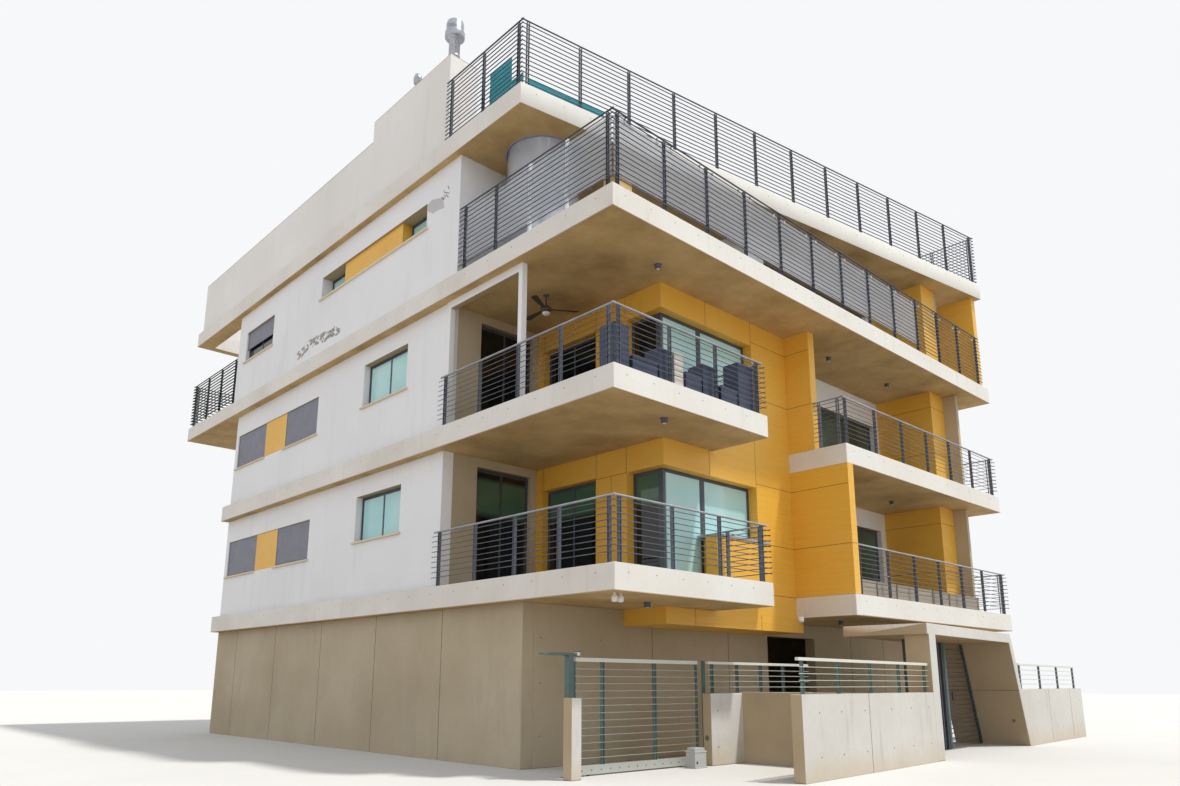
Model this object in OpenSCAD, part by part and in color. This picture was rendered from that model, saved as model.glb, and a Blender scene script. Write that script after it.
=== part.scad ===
// Apartment block of three upper storeys over a concrete ground floor, with its street boundary.

/* [Storeys] */
// Height from floor to floor
storey = 3100; // [2800:10:3400]
// Thickness of the balcony and floor slabs
slab_t = 420; // [300:10:500]
// Thickness of the roof slab
roof_t = 450; // [300:10:550]
// Height of the white parapet above the roof slab
parapet_h = 1680; // [900:10:2000]
// Height of the parapet's higher part at the street end
parapet_high = 2220; // [1500:10:2400]

/* [Plan] */
// Right end of the street balconies
front_w = 14420; // [12000:10:16000]
// Outer face of the right wall
right_x = 13450; // [12000:50:15000]
// Outer face of the back wall
back_y = 15650; // [12000:50:18000]
// Left face of the yellow corner
clad_x = 2600; // [2000:50:3400]
// Street face of the yellow corner
clad_y = 1300; // [900:50:1800]
// Street face of the recessed wall behind the right balconies
recess_y = 2200; // [1800:50:2600]
// Street end of the white left wall
loggia_y = 4900; // [3800:50:5200]
// Street end of the left wall behind the terrace
top_y = 4400; // [3800:50:5200]
// Street end of the roof parapet
parapet_y = 4900; // [4400:10:5200]
// Right end of the terrace slab
terrace_w = 14650; // [14000:10:16000]
// How far the right balconies reach past the corner balconies
right_out = 70; // [0:10:200]
// Street face of the ground floor wall
ground_y = 2350; // [2250:50:2600]
// Left face of the fin walls
fin_x = 6700; // [6200:50:7200]
// Rear end of the back balcony
rear_y = 19300; // [17000:50:20000]
// Right end of the back balcony
rear_x = 6700; // [4000:50:9000]
// Length of the first floor corner balcony
corner_1 = 4000; // [3600:10:4400]
// Length of the second floor corner balcony
corner_2 = 4050; // [3400:10:4200]

/* [Walls] */
// Thickness of the outer walls
wall_t = 250; // [200:10:350]
// Thickness of the fins and end walls
fin_t = 200; // [150:10:250]
// Set-back of the left wall behind the slab edges
inset = 200; // [50:10:300]
// Set-back of the left wall of the top storey
inset_top = 30; // [20:10:150]
// Drop of the yellow skirt below the first floor slab
skirt_h = 300; // [200:10:400]

/* [Roof] */
// Overhang of the roof slab past the left slab edges
roof_over = 120; // [0:10:200]
// Set-back of the roof's left street corner
roof_skew = 2300; // [1500:50:2600]
// Right end of the roof slab
roof_w = 14670; // [14000:10:16000]
// Radius of the round opening in the roof
drum_r = 770; // [600:10:900]

/* [Rails] */
// Height of the balcony rails
rail_h = 1050; // [950:10:1150]
// Height of the terrace rail
terrace_rail_h = 1420; // [1100:10:1500]
// Height of the roof rail
roof_rail_h = 1450; // [1000:10:1500]
// Spacing of the rail bars
bar_pitch = 97.5; // [70:0.5:110]
// Thickness of a rail bar
bar_t = 14; // [10:1:20]
// Longest distance between rail posts
post_pitch = 1180; // [900:10:1400]
// Distance of the end posts from the ends of a rail
post_lead = 125; // [50:5:200]

/* [Boundary] */
// Height of the street walls
fence_wall_h = 1210; // [1000:10:1400]
// Top of the rails on the street walls
fence_top = 1740; // [1500:10:1900]
// Angle of the street line to the front
street_turn = 4.4; // [0:0.1:8]
// Length of the left street wall
street_left = 4880; // [4000:10:6000]
// Right end of the right street wall
street_right = 15300; // [12000:10:18000]
// Top of the entrance portal
portal_top = 2460; // [2200:10:2700]
// Depth of the entrance portal
portal_d = 1650; // [1200:10:2000]
// Length of the sliding gate
gate_w = 2880; // [2400:10:3200]
// Distance of the entrance gate behind the street face
gate_d = 1000; // [600:10:1300]
// Place of the entrance gate's pivot along the street
pivot_s = 8350; // [8000:10:8800]

/* [Hidden] */
f1 = storey;
f2 = 2 * storey;
f3 = 3 * storey;
roof = 4 * storey;
s1 = f1 - slab_t;
s2 = f2 - slab_t;
s3 = f3 - slab_t;
s4 = roof - roof_t;
wall_x = inset;
wall_in = inset + wall_t;
top_in = inset_top + 400;
slab_back = back_y + 50;
slab_right = right_x + 50;
side_y = 2400;
head = 2170;
sill = 950;
pane = 30;
white = [0.90, 0.88, 0.84];
concrete = [0.78, 0.74, 0.68];
ochre = [0.85, 0.58, 0.12];
steel = [0.22, 0.24, 0.28];
alu = [0.42, 0.44, 0.46];
glazing = [0.35, 0.62, 0.62];
shutter = [0.45, 0.46, 0.50];
pale = [0.72, 0.78, 0.74];
zinc = [0.70, 0.72, 0.74];
wall_d = 180;
right_h = 1250;
leaf_top = portal_top - 220;
mid_x = (1890 + street_right * cos(street_turn) - 585) / 2;
mid_y = (rear_y - 1830) / 2;

// Places what follows with the middle of the whole plan at the origin
module centred() {
    translate([-mid_x, -mid_y, 0]) children();
}

// Box between two corners
module block(x0, x1, y0, y1, z0, z1) {
    translate([x0, y0, z0]) cube([x1 - x0, y1 - y0, z1 - z0]);
}

// Places what follows on the street line
module street() {
    translate([1890, -1830, 0]) rotate([0, 0, street_turn]) children();
}

// Straight rail of length l along X from the origin, h high, with its outer face at y = 0
module rail(l, h, cap = 60) {
    n = ceil((l - 2 * post_lead - 50) / post_pitch);
    step = (l - 2 * post_lead - 50) / n;
    bars = floor((h - 70) / bar_pitch);
    for (i = [0:n]) block(post_lead + i * step, post_lead + i * step + 50, 14, 44, 0, h - 20);
    for (i = [1:bars]) block(0, l, 0, bar_t, h - 12 - i * bar_pitch, h - 12 - i * bar_pitch + bar_t);
    block(0, l, 0, cap, h - 20, h);
}

// Rail from one plan point to another, outer face on the line's right hand side
module rail_to(a, b, z, h, cap = 60) {
    d = b - a;
    translate([a[0], a[1], z]) rotate([0, 0, atan2(d[1], d[0])]) rail(norm(d), h, cap);
}

// Wall along Y with openings [y0, y1, z0, z1] measured from the base
module wall_y(x0, x1, y0, y1, z0, z1, holes = []) {
    difference() {
        block(x0, x1, y0, y1, z0, z1);
        for (o = holes) block(x0 - 10, x1 + 10, o[0], o[1], z0 + o[2] - (o[2] == 0 ? 10 : 0), z0 + o[3]);
    }
}

// Wall along X with openings [x0, x1, z0, z1] measured from the base
module wall_x(x0, x1, y0, y1, z0, z1, holes = []) {
    difference() {
        block(x0, x1, y0, y1, z0, z1);
        for (o = holes) block(o[0], o[1], y0 - 10, y1 + 10, z0 + o[2] - (o[2] == 0 ? 10 : 0), z0 + o[3]);
    }
}

// Window frame in the plane x = x0, with its mullions as shares of the width
module frame_y(x0, y0, y1, z0, z1, splits = [0.5]) {
    t = 60;
    d = 60;
    difference() {
        block(x0, x0 + d, y0, y1, z0, z1);
        block(x0 - 1, x0 + d + 1, y0 + t, y1 - t, z0 + t, z1 - t);
    }
    for (s = splits) {
        m = y0 + s * (y1 - y0);
        block(x0, x0 + d, m - t / 2, m + t / 2, z0 + t, z1 - t);
    }
}

// Window frame in the plane y = y0
module frame_x(y0, x0, x1, z0, z1, splits = [0.5]) {
    t = 60;
    d = 60;
    difference() {
        block(x0, x1, y0, y0 + d, z0, z1);
        block(x0 + t, x1 - t, y0 - 1, y0 + d + 1, z0 + t, z1 - t);
    }
    for (s = splits) {
        m = x0 + s * (x1 - x0);
        block(m - t / 2, m + t / 2, y0, y0 + d, z0 + t, z1 - t);
    }
}

// Openings of the left wall, [y0, y1, z0, z1] above each floor
left_low = [[6400, 8250, 1245, 2260], [10500, 15460, 1100, 2070]];
left_top = [[5610, 10400, 1470, 2055], [13240, 15090, 1100, 2000]];
// Openings of the recessed front walls from the first floor up, [x0, x1, z0, z1]
recess_holes = [[7400, 12260, 0, 2200], [7400, 12260, 0, 1980], [7400, 12260, 0, 2130]];
// Openings of the back and right walls
back_holes = [[1500, 3300, 930, 2000], [5000, 6800, 930, 2000], [8500, 10300, 930, 2000]];
right_holes = [[4600, 6400, 930, 2000], [8200, 10000, 930, 2000], [11800, 13600, 930, 2000]];

module ground_front_wall() {
    color(concrete) wall_x(wall_in, right_x - fin_t, ground_y, ground_y + wall_t, 0, s1, [[7100, 8980, 0, 2370]]);
}

module ground_side_walls() {
    color(concrete) {
        block(wall_x, wall_in, ground_y, back_y, 0, s1);
        block(right_x - fin_t, right_x, ground_y, back_y, 0, s1);
    }
}

module ground_back_wall() {
    color(concrete) wall_x(wall_in, right_x - fin_t, back_y - wall_t, back_y, 0, s1, [[6200, 7100, 0, 2100]]);
}

// Floor slab with a corner balcony of length c and a right balcony
module floor_slab(z, c) {
    translate([0, 0, z - slab_t]) linear_extrude(slab_t) polygon([[0, 0], [c, 0], [c, clad_y + 50],
        [fin_x, clad_y + 50], [fin_x, -right_out], [front_w, -right_out], [front_w, side_y], [slab_right, side_y],
        [slab_right, slab_back], [0, slab_back]]);
}

module first_floor_slab() {
    color(concrete) floor_slab(f1, corner_1);
}

module second_floor_slab() {
    color(concrete) floor_slab(f2, corner_2);
}

module terrace_slab() {
    color(concrete) translate([0, 0, s3]) linear_extrude(slab_t) polygon([[0, 0], [terrace_w, 0], [terrace_w, side_y],
        [slab_right, side_y], [slab_right, slab_back], [rear_x, slab_back], [rear_x, rear_y], [0, rear_y]]);
}

module roof_slab() {
    color(concrete) difference() {
        translate([0, 0, s4]) linear_extrude(roof_t) polygon([[-roof_over, roof_skew], [roof_w, -50],
            [roof_w, side_y], [slab_right, side_y], [slab_right, slab_back], [rear_x, slab_back],
            [rear_x, rear_y - 400], [-roof_over, rear_y - 400]]);
        block(330, rear_x - 400, back_y + 450, rear_y - 690, s4 - 10, roof + 10);
        translate([1350, 3350, s4 - 10]) cylinder(r = drum_r, h = roof_t + 20, $fn = 48);
    }
}

module left_walls() {
    color(white) {
        wall_y(wall_x, wall_in, loggia_y, back_y, f1, s2, left_low);
        wall_y(wall_x, wall_in, loggia_y, back_y, f2, s3, left_low);
        wall_y(inset_top, top_in, top_y, back_y, f3, s4, left_top);
    }
}

module right_walls() {
    color(white) for (z = [f1, f2, f3])
        wall_y(right_x - fin_t, right_x, recess_y, back_y, z, z == f3 ? s4 : z + storey - slab_t, right_holes);
}

module back_walls() {
    color(white) for (z = [f1, f2, f3])
        wall_x(z == f3 ? top_in : wall_in, right_x - fin_t, back_y - wall_t, back_y, z,
            z == f3 ? s4 : z + storey - slab_t,
            z == f3 ? [[1500, 3300, 0, 2130], back_holes[1], back_holes[2]] : back_holes);
}

module front_walls() {
    color(white) for (i = [0:2]) {
        z = f1 + i * storey;
        wall_x(fin_x + 220, right_x - fin_t, recess_y, recess_y + wall_t, z, i == 2 ? s4 : z + storey - slab_t,
            [recess_holes[i]]);
    }
    color(white) {
        wall_x(top_in, fin_x, top_y, top_y + wall_t, f3, s4, [[2000, 6300, 0, 2130]]);
        block(fin_x, fin_x + 220, recess_y, top_y + wall_t, f3, s4);
    }
}

module loggia_walls() {
    color(concrete) for (z = [f1, f2])
        wall_x(wall_in, clad_x, loggia_y, loggia_y + wall_t, z, z + storey - slab_t, [[1040, 2450, 0, 2500]]);
}

// Yellow corner walls of one storey, open at the corner
module clad_storey(z) {
    color(ochre) difference() {
        union() {
            block(clad_x, fin_x, clad_y, clad_y + wall_t, z, z + storey - slab_t);
            block(clad_x, clad_x + wall_t, clad_y, loggia_y + wall_t, z, z + storey - slab_t);
        }
        block(clad_x - 10, 3930, clad_y - 10, 2250, z - 10, z + head);
        block(3920, 5430, clad_y - 10, clad_y + wall_t + 10, z + sill, z + head);
        block(clad_x - 10, clad_x + wall_t + 10, 3090, 4700, z - 10, z + head + 30);
    }
}

module clad_walls() {
    clad_storey(f1);
    clad_storey(f2);
    color(ochre) block(3750, 5430, clad_y - 270, clad_y, f1, f1 + sill);
}

module clad_skirt() {
    color(ochre) {
        block(clad_x, fin_x + 220, clad_y, ground_y, s1 - skirt_h, s1);
        block(corner_1, fin_x, clad_y, clad_y + 50, s1, f1);
        block(corner_2, fin_x, clad_y, clad_y + 50, s2, f2);
    }
}

module fin_walls() {
    color(ochre) {
        block(fin_x, fin_x + 220, -right_out, recess_y + wall_t, f1, s2);
        block(fin_x, fin_x + 220, 680, recess_y + wall_t, f2, s3);
        block(14360, 14580, 110, 1100, f3, s4);
    }
}

module clad_piers() {
    color(ochre) for (z = [f1, f2, f3]) {
        top = z == f3 ? s4 : z + storey - slab_t;
        block(12500, 12700, 880, recess_y, z, top);
        block(12500, right_x - fin_t, 680, 880, z, top);
    }
}

module end_walls() {
    color(concrete) {
        for (z = [f1, f2]) block(right_x - fin_t, right_x - 80, 340, recess_y, z, z + storey - slab_t);
        block(right_x - fin_t, right_x - 80, 680, recess_y, f3, s4);
    }
}

module loggia_frame() {
    color(white) {
        block(170, 290, 2500, 2610, f2, s3);
        block(170, 290, 4780, loggia_y, f2, s3);
        block(170, 290, 2610, 4780, s3 - 160, s3);
    }
}

module roof_parapet() {
    color(white) {
        block(0, 330, parapet_y, 8140, roof, roof + parapet_high);
        block(330, 730, parapet_y, parapet_y + 250, roof, roof + parapet_high);
        block(0, 330, 8140, rear_y - 430, roof, roof + parapet_h);
        block(330, rear_x, rear_y - 680, rear_y - 430, roof, roof + parapet_h);
        block(rear_x - 250, rear_x, slab_back - 250, rear_y - 680, roof, roof + parapet_h);
        block(rear_x, slab_right, slab_back - 250, slab_back, roof, roof + parapet_h);
        block(slab_right - 250, slab_right, parapet_y, slab_back - 250, roof, roof + parapet_h);
    }
}

module left_panels() {
    color(ochre) {
        for (z = [f1, f2]) block(wall_x + 20, wall_x + 100, 12330, 13600, z + 1100, z + 2070);
        block(inset_top + 50, inset_top + 300, 6660, 9290, f3 + 1470, f3 + 2055);
    }
}

module left_shutters() {
    color(shutter) {
        for (z = [f1, f2]) {
            block(wall_x + 20, wall_x + 70, 10500, 12330, z + 1100, z + 2070);
            block(wall_x + 20, wall_x + 70, 13600, 15460, z + 1100, z + 2070);
        }
        block(inset_top + 40, inset_top + 80, 13240, 15090, f3 + 1480, f3 + 2000);
    }
}

module left_sills() {
    color(white) {
        for (z = [f1, f2]) {
            block(wall_x - 50, wall_x, 6330, 8320, z + 1205, z + 1245);
            block(wall_x - 50, wall_x, 10430, 12400, z + 1060, z + 1100);
            block(wall_x - 50, wall_x, 13530, 15530, z + 1060, z + 1100);
        }
        block(inset_top - 50, inset_top, 5540, 10470, f3 + 1430, f3 + 1470);
        block(inset_top - 50, inset_top, 13170, 15160, f3 + 1060, f3 + 1100);
    }
}

module left_frames() {
    color(alu) {
        for (z = [f1, f2]) frame_y(wall_x + 150, 6400, 8250, z + 1245, z + 2260);
        frame_y(inset_top + 280, 5610, 6660, f3 + 1470, f3 + 2055, []);
        frame_y(inset_top + 280, 9290, 10400, f3 + 1470, f3 + 2055, []);
        frame_y(inset_top + 100, 13240, 15090, f3 + 1100, f3 + 2000);
    }
}

module left_glass() {
    color(glazing) {
        for (z = [f1, f2], y = [6460, 7355]) block(wall_x + 165, wall_x + 195, y, y + 835, z + 1305, z + 2200);
        block(inset_top + 295, inset_top + 325, 5670, 6600, f3 + 1530, f3 + 1995);
        block(inset_top + 295, inset_top + 325, 9350, 10340, f3 + 1530, f3 + 1995);
        for (y = [13300, 14195]) block(inset_top + 115, inset_top + 145, y, y + 835, f3 + 1160, f3 + 1940);
    }
}

module front_frames() {
    color(alu) {
        for (z = [f1, f2]) {
            frame_x(clad_y + 190, clad_x + 190, 3930, z, z + head, []);
            frame_x(clad_y + 190, 3930, 5430, z + sill, z + head, []);
            frame_y(clad_x + 190, clad_y + 250, 2250, z, z + head, []);
            frame_y(clad_x + 150, 3090, 4700, z, z + head + 30);
            frame_x(loggia_y + 120, 1040, 2450, z, z + 2500);
        }
        for (i = [0:2]) frame_x(recess_y + 120, 7400, 12260, f1 + i * storey, f1 + i * storey + recess_holes[i][3],
            [0.25, 0.5, 0.75]);
        frame_x(top_y + 120, 2000, 6300, f3, f3 + 2130, [0.25, 0.5, 0.75]);
    }
}

// Four panes side by side between x0 and x1
module panes_x(y, x0, x1, z0, z1) {
    step = (x1 - x0) / 4;
    for (i = [0:3]) block(x0 + i * step + (i == 0 ? 60 : 30), x0 + (i + 1) * step - (i == 3 ? 60 : 30), y, y + pane, z0, z1);
}

module front_glass() {
    color(glazing) {
        for (z = [f1, f2]) {
            block(clad_x + 250, 3870, clad_y + 205, clad_y + 235, z + 60, z + head - 60);
            block(3990, 5370, clad_y + 205, clad_y + 235, z + sill + 60, z + head - 60);
            block(clad_x + 205, clad_x + 235, clad_y + 310, 2190, z + 60, z + head - 60);
            for (y = [3150, 3925]) block(clad_x + 165, clad_x + 195, y, y + 715, z + 60, z + head - 30);
            for (x = [1100, 1775]) block(x, x + 615, loggia_y + 135, loggia_y + 165, z + 60, z + 2440);
        }
        for (i = [0:2]) panes_x(recess_y + 135, 7400, 12260, f1 + i * storey + 60, f1 + i * storey + recess_holes[i][3] - 60);
        panes_x(top_y + 135, 2000, 6300, f3 + 60, f3 + 2070);
    }
}

module rear_shutters() {
    color(shutter) for (z = [f1, f2, f3]) {
        for (o = back_holes) block(o[0], o[1], back_y - 90, back_y - 40,
            z + (z == f3 && o[0] == 1500 ? 0 : o[2]), z + (z == f3 && o[0] == 1500 ? 2130 : o[3]));
        for (o = right_holes) block(right_x - 90, right_x - 40, o[0], o[1], z + o[2], z + o[3]);
    }
}

module corner_balcony_rails() {
    color(steel) for (c = [[f1, corner_1, 1030], [f2, corner_2, clad_y]]) {
        rail_to([40, loggia_y - 30], [40, 40], c[0], rail_h);
        rail_to([102, 40], [c[1] - 102, 40], c[0], rail_h);
        rail_to([c[1] - 40, 40], [c[1] - 40, c[2]], c[0], rail_h);
    }
}

module right_balcony_rails() {
    y = 40 - right_out;
    color(steel) {
        rail_to([fin_x + 220, y], [front_w - 102, y], f1, rail_h);
        rail_to([fin_x + 40, 680], [fin_x + 40, y], f2, rail_h);
        rail_to([fin_x + 102, y], [front_w - 102, y], f2, rail_h);
        for (z = [f1, f2]) {
            rail_to([front_w - 40, y], [front_w - 40, side_y - 40], z, rail_h);
            rail_to([front_w - 102, side_y - 40], [right_x, side_y - 40], z, rail_h);
        }
    }
}

module terrace_rail() {
    color(steel) {
        rail_to([40, top_y - 20], [40, 40], f3, terrace_rail_h, 44);
        rail_to([86, 40], [terrace_w - 250, 40], f3, terrace_rail_h, 44);
    }
}

module terrace_screen() {
    color([0.80, 0.86, 0.88]) {
        block(120, terrace_w - 3950, 84, 94, f3 + 230, f3 + terrace_rail_h - 100);
        block(84, 94, 120, top_y - 60, f3 + 230, f3 + terrace_rail_h - 100);
    }
}

module roof_rail() {
    a = [40 - roof_over, parapet_y - 30];
    b = [40 - roof_over, roof_skew + 34];
    c = [roof_w - 40, -3];
    color(steel) {
        rail_to(a, b, roof, roof_rail_h, 44);
        rail_to(b + [48, -8], c - [56, -9], roof, roof_rail_h, 44);
        rail_to(c, [roof_w - 40, side_y - 40], roof, roof_rail_h, 44);
        rail_to([roof_w - 86, side_y - 40], [slab_right - 38, side_y - 40], roof, roof_rail_h, 44);
        rail_to([slab_right - 40, side_y - 100], [slab_right - 40, parapet_y], roof, roof_rail_h, 44);
    }
}

module rear_rail() {
    color(steel) {
        rail_to([40, rear_y - 40], [40, back_y + 100], f3, terrace_rail_h, 44);
        rail_to([rear_x - 86, rear_y - 40], [86, rear_y - 40], f3, terrace_rail_h, 44);
        rail_to([rear_x - 40, back_y + 100], [rear_x - 40, rear_y - 40], f3, terrace_rail_h, 44);
    }
}

// Box full of soil from x0 to x1 with its street face at y
module planter(x0, x1, y, z, w, h) {
    block(x0, x1, y, y + w, z, z + h);
}

module planters() {
    color(zinc) {
        for (i = [0:6]) planter(7150 + i * 850, 7930 + i * 850, 140, f1, 340, 360);
        planter(180, 520, 160, f2, 340, 780);
        planter(600, 1200, 160, f2, 300, 320);
        planter(1240, 1570, 160, f2, 330, 630);
        planter(1620, 1850, 160, f2, 230, 650);
        planter(1920, 2340, 160, f2, 300, 380);
        planter(2380, 2790, 160, f2, 340, 640);
        planter(2890, 3360, 160, f2, 300, 370);
        planter(3400, 3860, 160, f2, 340, 940);
        planter(230, 570, 110, f3, 340, 520);
    }
}

// Round glass shaft through the roof opening
module drum() {
    color(glazing) translate([1350, 3350, f3]) difference() {
        cylinder(r = drum_r - 30, h = roof - f3 + 300, $fn = 48);
        translate([0, 0, -20]) cylinder(r = drum_r - 50, h = roof - f3 + 400, $fn = 48);
    }
}

module flues() {
    color(zinc) {
        translate([1350, 3350, f3]) cylinder(r = 55, h = roof - f3 + 900, $fn = 24);
        translate([800, 6000, roof]) cylinder(r = 125, h = 3450, $fn = 24);
        translate([800, 6000, roof + 3450]) cylinder(r = 220, h = 750, $fn = 24);
        translate([700, 7400, roof]) cylinder(r = 60, h = 3250, $fn = 24);
        translate([700, 7400, roof + 3250]) cylinder(r = 110, h = 300, $fn = 24);
    }
}

module roof_screen() {
    color([0.05, 0.55, 0.60]) {
        block(80, 110, 2500, 2860, roof, roof + 450);
        block(80, 110, 2870, 3570, roof, roof + 1000);
        rotate_about_skew() block(300, 2100, 260, 290, 0, 380);
    }
}

// Places what follows along the slanting street edge of the roof
module rotate_about_skew() {
    turn = atan2(-roof_skew - 50, roof_w + roof_over);
    translate([-roof_over, roof_skew, roof]) rotate([0, 0, turn]) children();
}

module street_walls() {
    color(concrete) {
        street() {
            block(0, street_left, 0, wall_d, 0, fence_wall_h);
            block(10600, street_right, 0, wall_d, 0, right_h);
            block(2200, 2400, wall_d, 2400, 0, fence_wall_h);
        }
        block(3020, 6200, 700, 880, 0, fence_wall_h - 20);
        block(-280, -90, 600, 780, 0, 1146);
    }
}

module entrance_portal() {
    top = portal_top - 200;
    color(concrete) street() {
        block(4880, 5200, 0, 460, 0, top);
        translate([0, portal_d, 0]) rotate([90, 0, 0]) linear_extrude(portal_d) {
            polygon([[4810, top], [9750, top], [9650, portal_top], [4810, portal_top]]);
            polygon([[10360, 0], [10600, 0], [10600, right_h], [10118, right_h], [9750, top], [9540, top]]);
        }
    }
}

module street_rails() {
    color(pale) street() {
        translate([70, 60, fence_wall_h]) fence_rail(4785, fence_top - 10 - fence_wall_h, 4);
        translate([10240, 60, right_h]) fence_rail(4850, 575, 3);
    }
    color(pale) translate([3050, 760, fence_wall_h - 20]) fence_rail(3120, 536, 4);
}

// Pale rail with four bars and n bays on a street wall
module fence_rail(l, h, n) {
    step = (l - 260) / n;
    for (i = [0:n]) block(100 + i * step, 160 + i * step, 10, 50, 0, h - 45);
    for (i = [1:4]) block(0, l, 0, 10, i * (h - 45) / 5, i * (h - 45) / 5 + 10);
    block(0, l, 0, 60, h - 45, h);
}

module gate_posts() {
    color(steel) {
        block(-80, 20, 890, 990, 0, 1760);
        block(-585, 90, 890, 990, 1760, 1800);
        block(90, 170, 900, 980, 1745, 1830);
        block(3050, 3110, 882, 922, 0, 1740);
    }
}

module gate_motor() {
    color(zinc) block(2430, 2740, 580, 800, 0, 320);
}

module sliding_gate() {
    color(pale) translate([90, 930, 0]) {
        block(0, gate_w, 0, 70, 1675, 1735);
        block(0, gate_w, 0, 70, 20, 150);
        for (x = [0, 572, 612, 1765, 1805, gate_w - 25]) block(x, x + 25, 12, 58, 150, 1675);
        for (i = [1:13]) block(0, gate_w, 0, 12, 143 + i * 109, 155 + i * 109);
    }
}

module entrance_side_panel() {
    color(steel) street() {
        for (x = [6150, 7020, 7890, 8090]) block(x, x + 60, gate_d - 20, gate_d + 40, 0, leaf_top);
        for (i = [1:21]) block(6170, 7930, gate_d, gate_d + 15, i * 100, i * 100 + 20);
    }
}

module entrance_gate() {
    color(steel) street() {
        translate([pivot_s, gate_d + 30, 20]) cylinder(r = 40, h = leaf_top - 20, $fn = 24);
        for (i = [1:21]) block(pivot_s + 20, 10280 - (i * 100 - 20) * 810 / 2220, gate_d + 20, gate_d + 35,
            i * 100, i * 100 + 20);
        translate([0, gate_d + 50, 0]) rotate([90, 0, 0]) linear_extrude(40)
            polygon([[10220, 20], [10310, 20], [9500, leaf_top], [9410, leaf_top]]);
    }
}

centred() ground_front_wall();
centred() ground_side_walls();
centred() ground_back_wall();
centred() first_floor_slab();
centred() second_floor_slab();
centred() terrace_slab();
centred() roof_slab();
centred() left_walls();
centred() right_walls();
centred() back_walls();
centred() front_walls();
centred() loggia_walls();
centred() clad_walls();
centred() clad_skirt();
centred() fin_walls();
centred() clad_piers();
centred() end_walls();
centred() loggia_frame();
centred() roof_parapet();
centred() left_panels();
centred() left_shutters();
centred() left_sills();
centred() left_frames();
centred() left_glass();
centred() front_frames();
centred() front_glass();
centred() rear_shutters();
centred() corner_balcony_rails();
centred() right_balcony_rails();
centred() terrace_rail();
centred() terrace_screen();
centred() roof_rail();
centred() rear_rail();
centred() planters();
centred() drum();
centred() flues();
centred() roof_screen();
centred() street_walls();
centred() entrance_portal();
centred() street_rails();
centred() gate_posts();
centred() gate_motor();
centred() sliding_gate();
centred() entrance_side_panel();
centred() entrance_gate();
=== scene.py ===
import random
from math import atan2, ceil, cos, pi, radians, sin

import bmesh
import bpy
from mathutils import Matrix, Vector


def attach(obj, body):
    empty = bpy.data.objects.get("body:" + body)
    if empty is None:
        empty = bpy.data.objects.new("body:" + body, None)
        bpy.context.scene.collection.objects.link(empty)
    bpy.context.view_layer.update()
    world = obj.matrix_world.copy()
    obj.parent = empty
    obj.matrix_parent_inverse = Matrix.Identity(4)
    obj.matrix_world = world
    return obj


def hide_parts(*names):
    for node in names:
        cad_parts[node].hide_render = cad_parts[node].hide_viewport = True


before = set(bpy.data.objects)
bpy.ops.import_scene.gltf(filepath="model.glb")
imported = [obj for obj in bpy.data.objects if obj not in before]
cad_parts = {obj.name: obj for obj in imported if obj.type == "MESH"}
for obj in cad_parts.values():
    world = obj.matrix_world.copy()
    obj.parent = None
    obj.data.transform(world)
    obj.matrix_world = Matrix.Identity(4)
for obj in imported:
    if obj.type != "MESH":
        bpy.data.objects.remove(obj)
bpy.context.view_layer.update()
scene = bpy.context.scene
draw = random.Random(7)

# Heights and the plan's main lines in metres, with 0, 0 at the street corner of the slabs
MIDDLE = Vector((8.279954, 8.735, 0))
STOREY, SLAB = 3.1, 0.42
F1, F2, F3, ROOF = STOREY, 2 * STOREY, 3 * STOREY, 4 * STOREY
S1, S2, S3, S4 = F1 - SLAB, F2 - SLAB, F3 - SLAB, ROOF - 0.45
HEAD, SILL = 2.17, 0.95
CORNER_1, CORNER_2 = 4, 4.05
WALL_X, TOP_X, RIGHT_X = 0.2, 0.03, 13.45
CLAD_X, CLAD_Y = 2.6, 1.3
FIN_X, PIER_X, PIER_Y = 6.7, 12.5, 0.68
RECESS_Y, GROUND_Y, TOP_Y, LOGGIA_Y, BACK_Y = 2.2, 2.35, 4.4, 4.9, 15.65
FRONT_W, RIGHT_OUT, SIDE_Y = 14.42, 0.07, 2.4
TERRACE_W, REAR_X, REAR_Y = 14.65, 6.7, 19.3
ROOF_LEFT, ROOF_W, ROOF_SKEW = -0.12, 14.67, 2.3
PARAPET, PARAPET_HIGH, PARAPET_Y, STEP_Y = 1.68, 2.22, 4.9, 8.14
RAIL_H, TERRACE_RAIL_H, ROOF_RAIL_H = 1.05, 1.42, 1.45
WALL_TOP, RIGHT_TOP = 1.21, 1.25

# The boundary stands at a slight angle, and so does the roof's front edge
STREET = Matrix.Translation((1.89, -1.83, 0)) @ Matrix.Rotation(radians(4.4), 4, "Z")
SKEW = atan2(-ROOF_SKEW - 0.05, ROOF_W - ROOF_LEFT)
ROOF_EDGE = Matrix.Translation((ROOF_LEFT, ROOF_SKEW, 0)) @ Matrix.Rotation(SKEW, 4, "Z")

UP = Vector((0, 0, 1))

# How far joints and plugs stand proud of a wall and go into it, and their widths
PROUD, SUNK, HOLE_PROUD = 0.0012, 0.001, 0.0008
JOINT, SEAM, STREET_SEAM = 0.009, 0.014, 0.012
HOLE, SMALL_HOLE = 0.013, 0.01


# Materials by name, with colours given in sRGB from 0 to 255
FINISHES = {}
TOPS = (2, 0.5, 0.95)
UNDERSIDES = (2, -0.4, -0.9)
LEFT_FACES = (0, -0.5, -0.95)


def tone(color):
    """Linear colour of an sRGB one."""
    shares = [value / 255 for value in color]
    return (*(s / 12.92 if s <= 0.04045 else ((s + 0.055) / 1.055) ** 2.4 for s in shares), 1)


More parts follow.
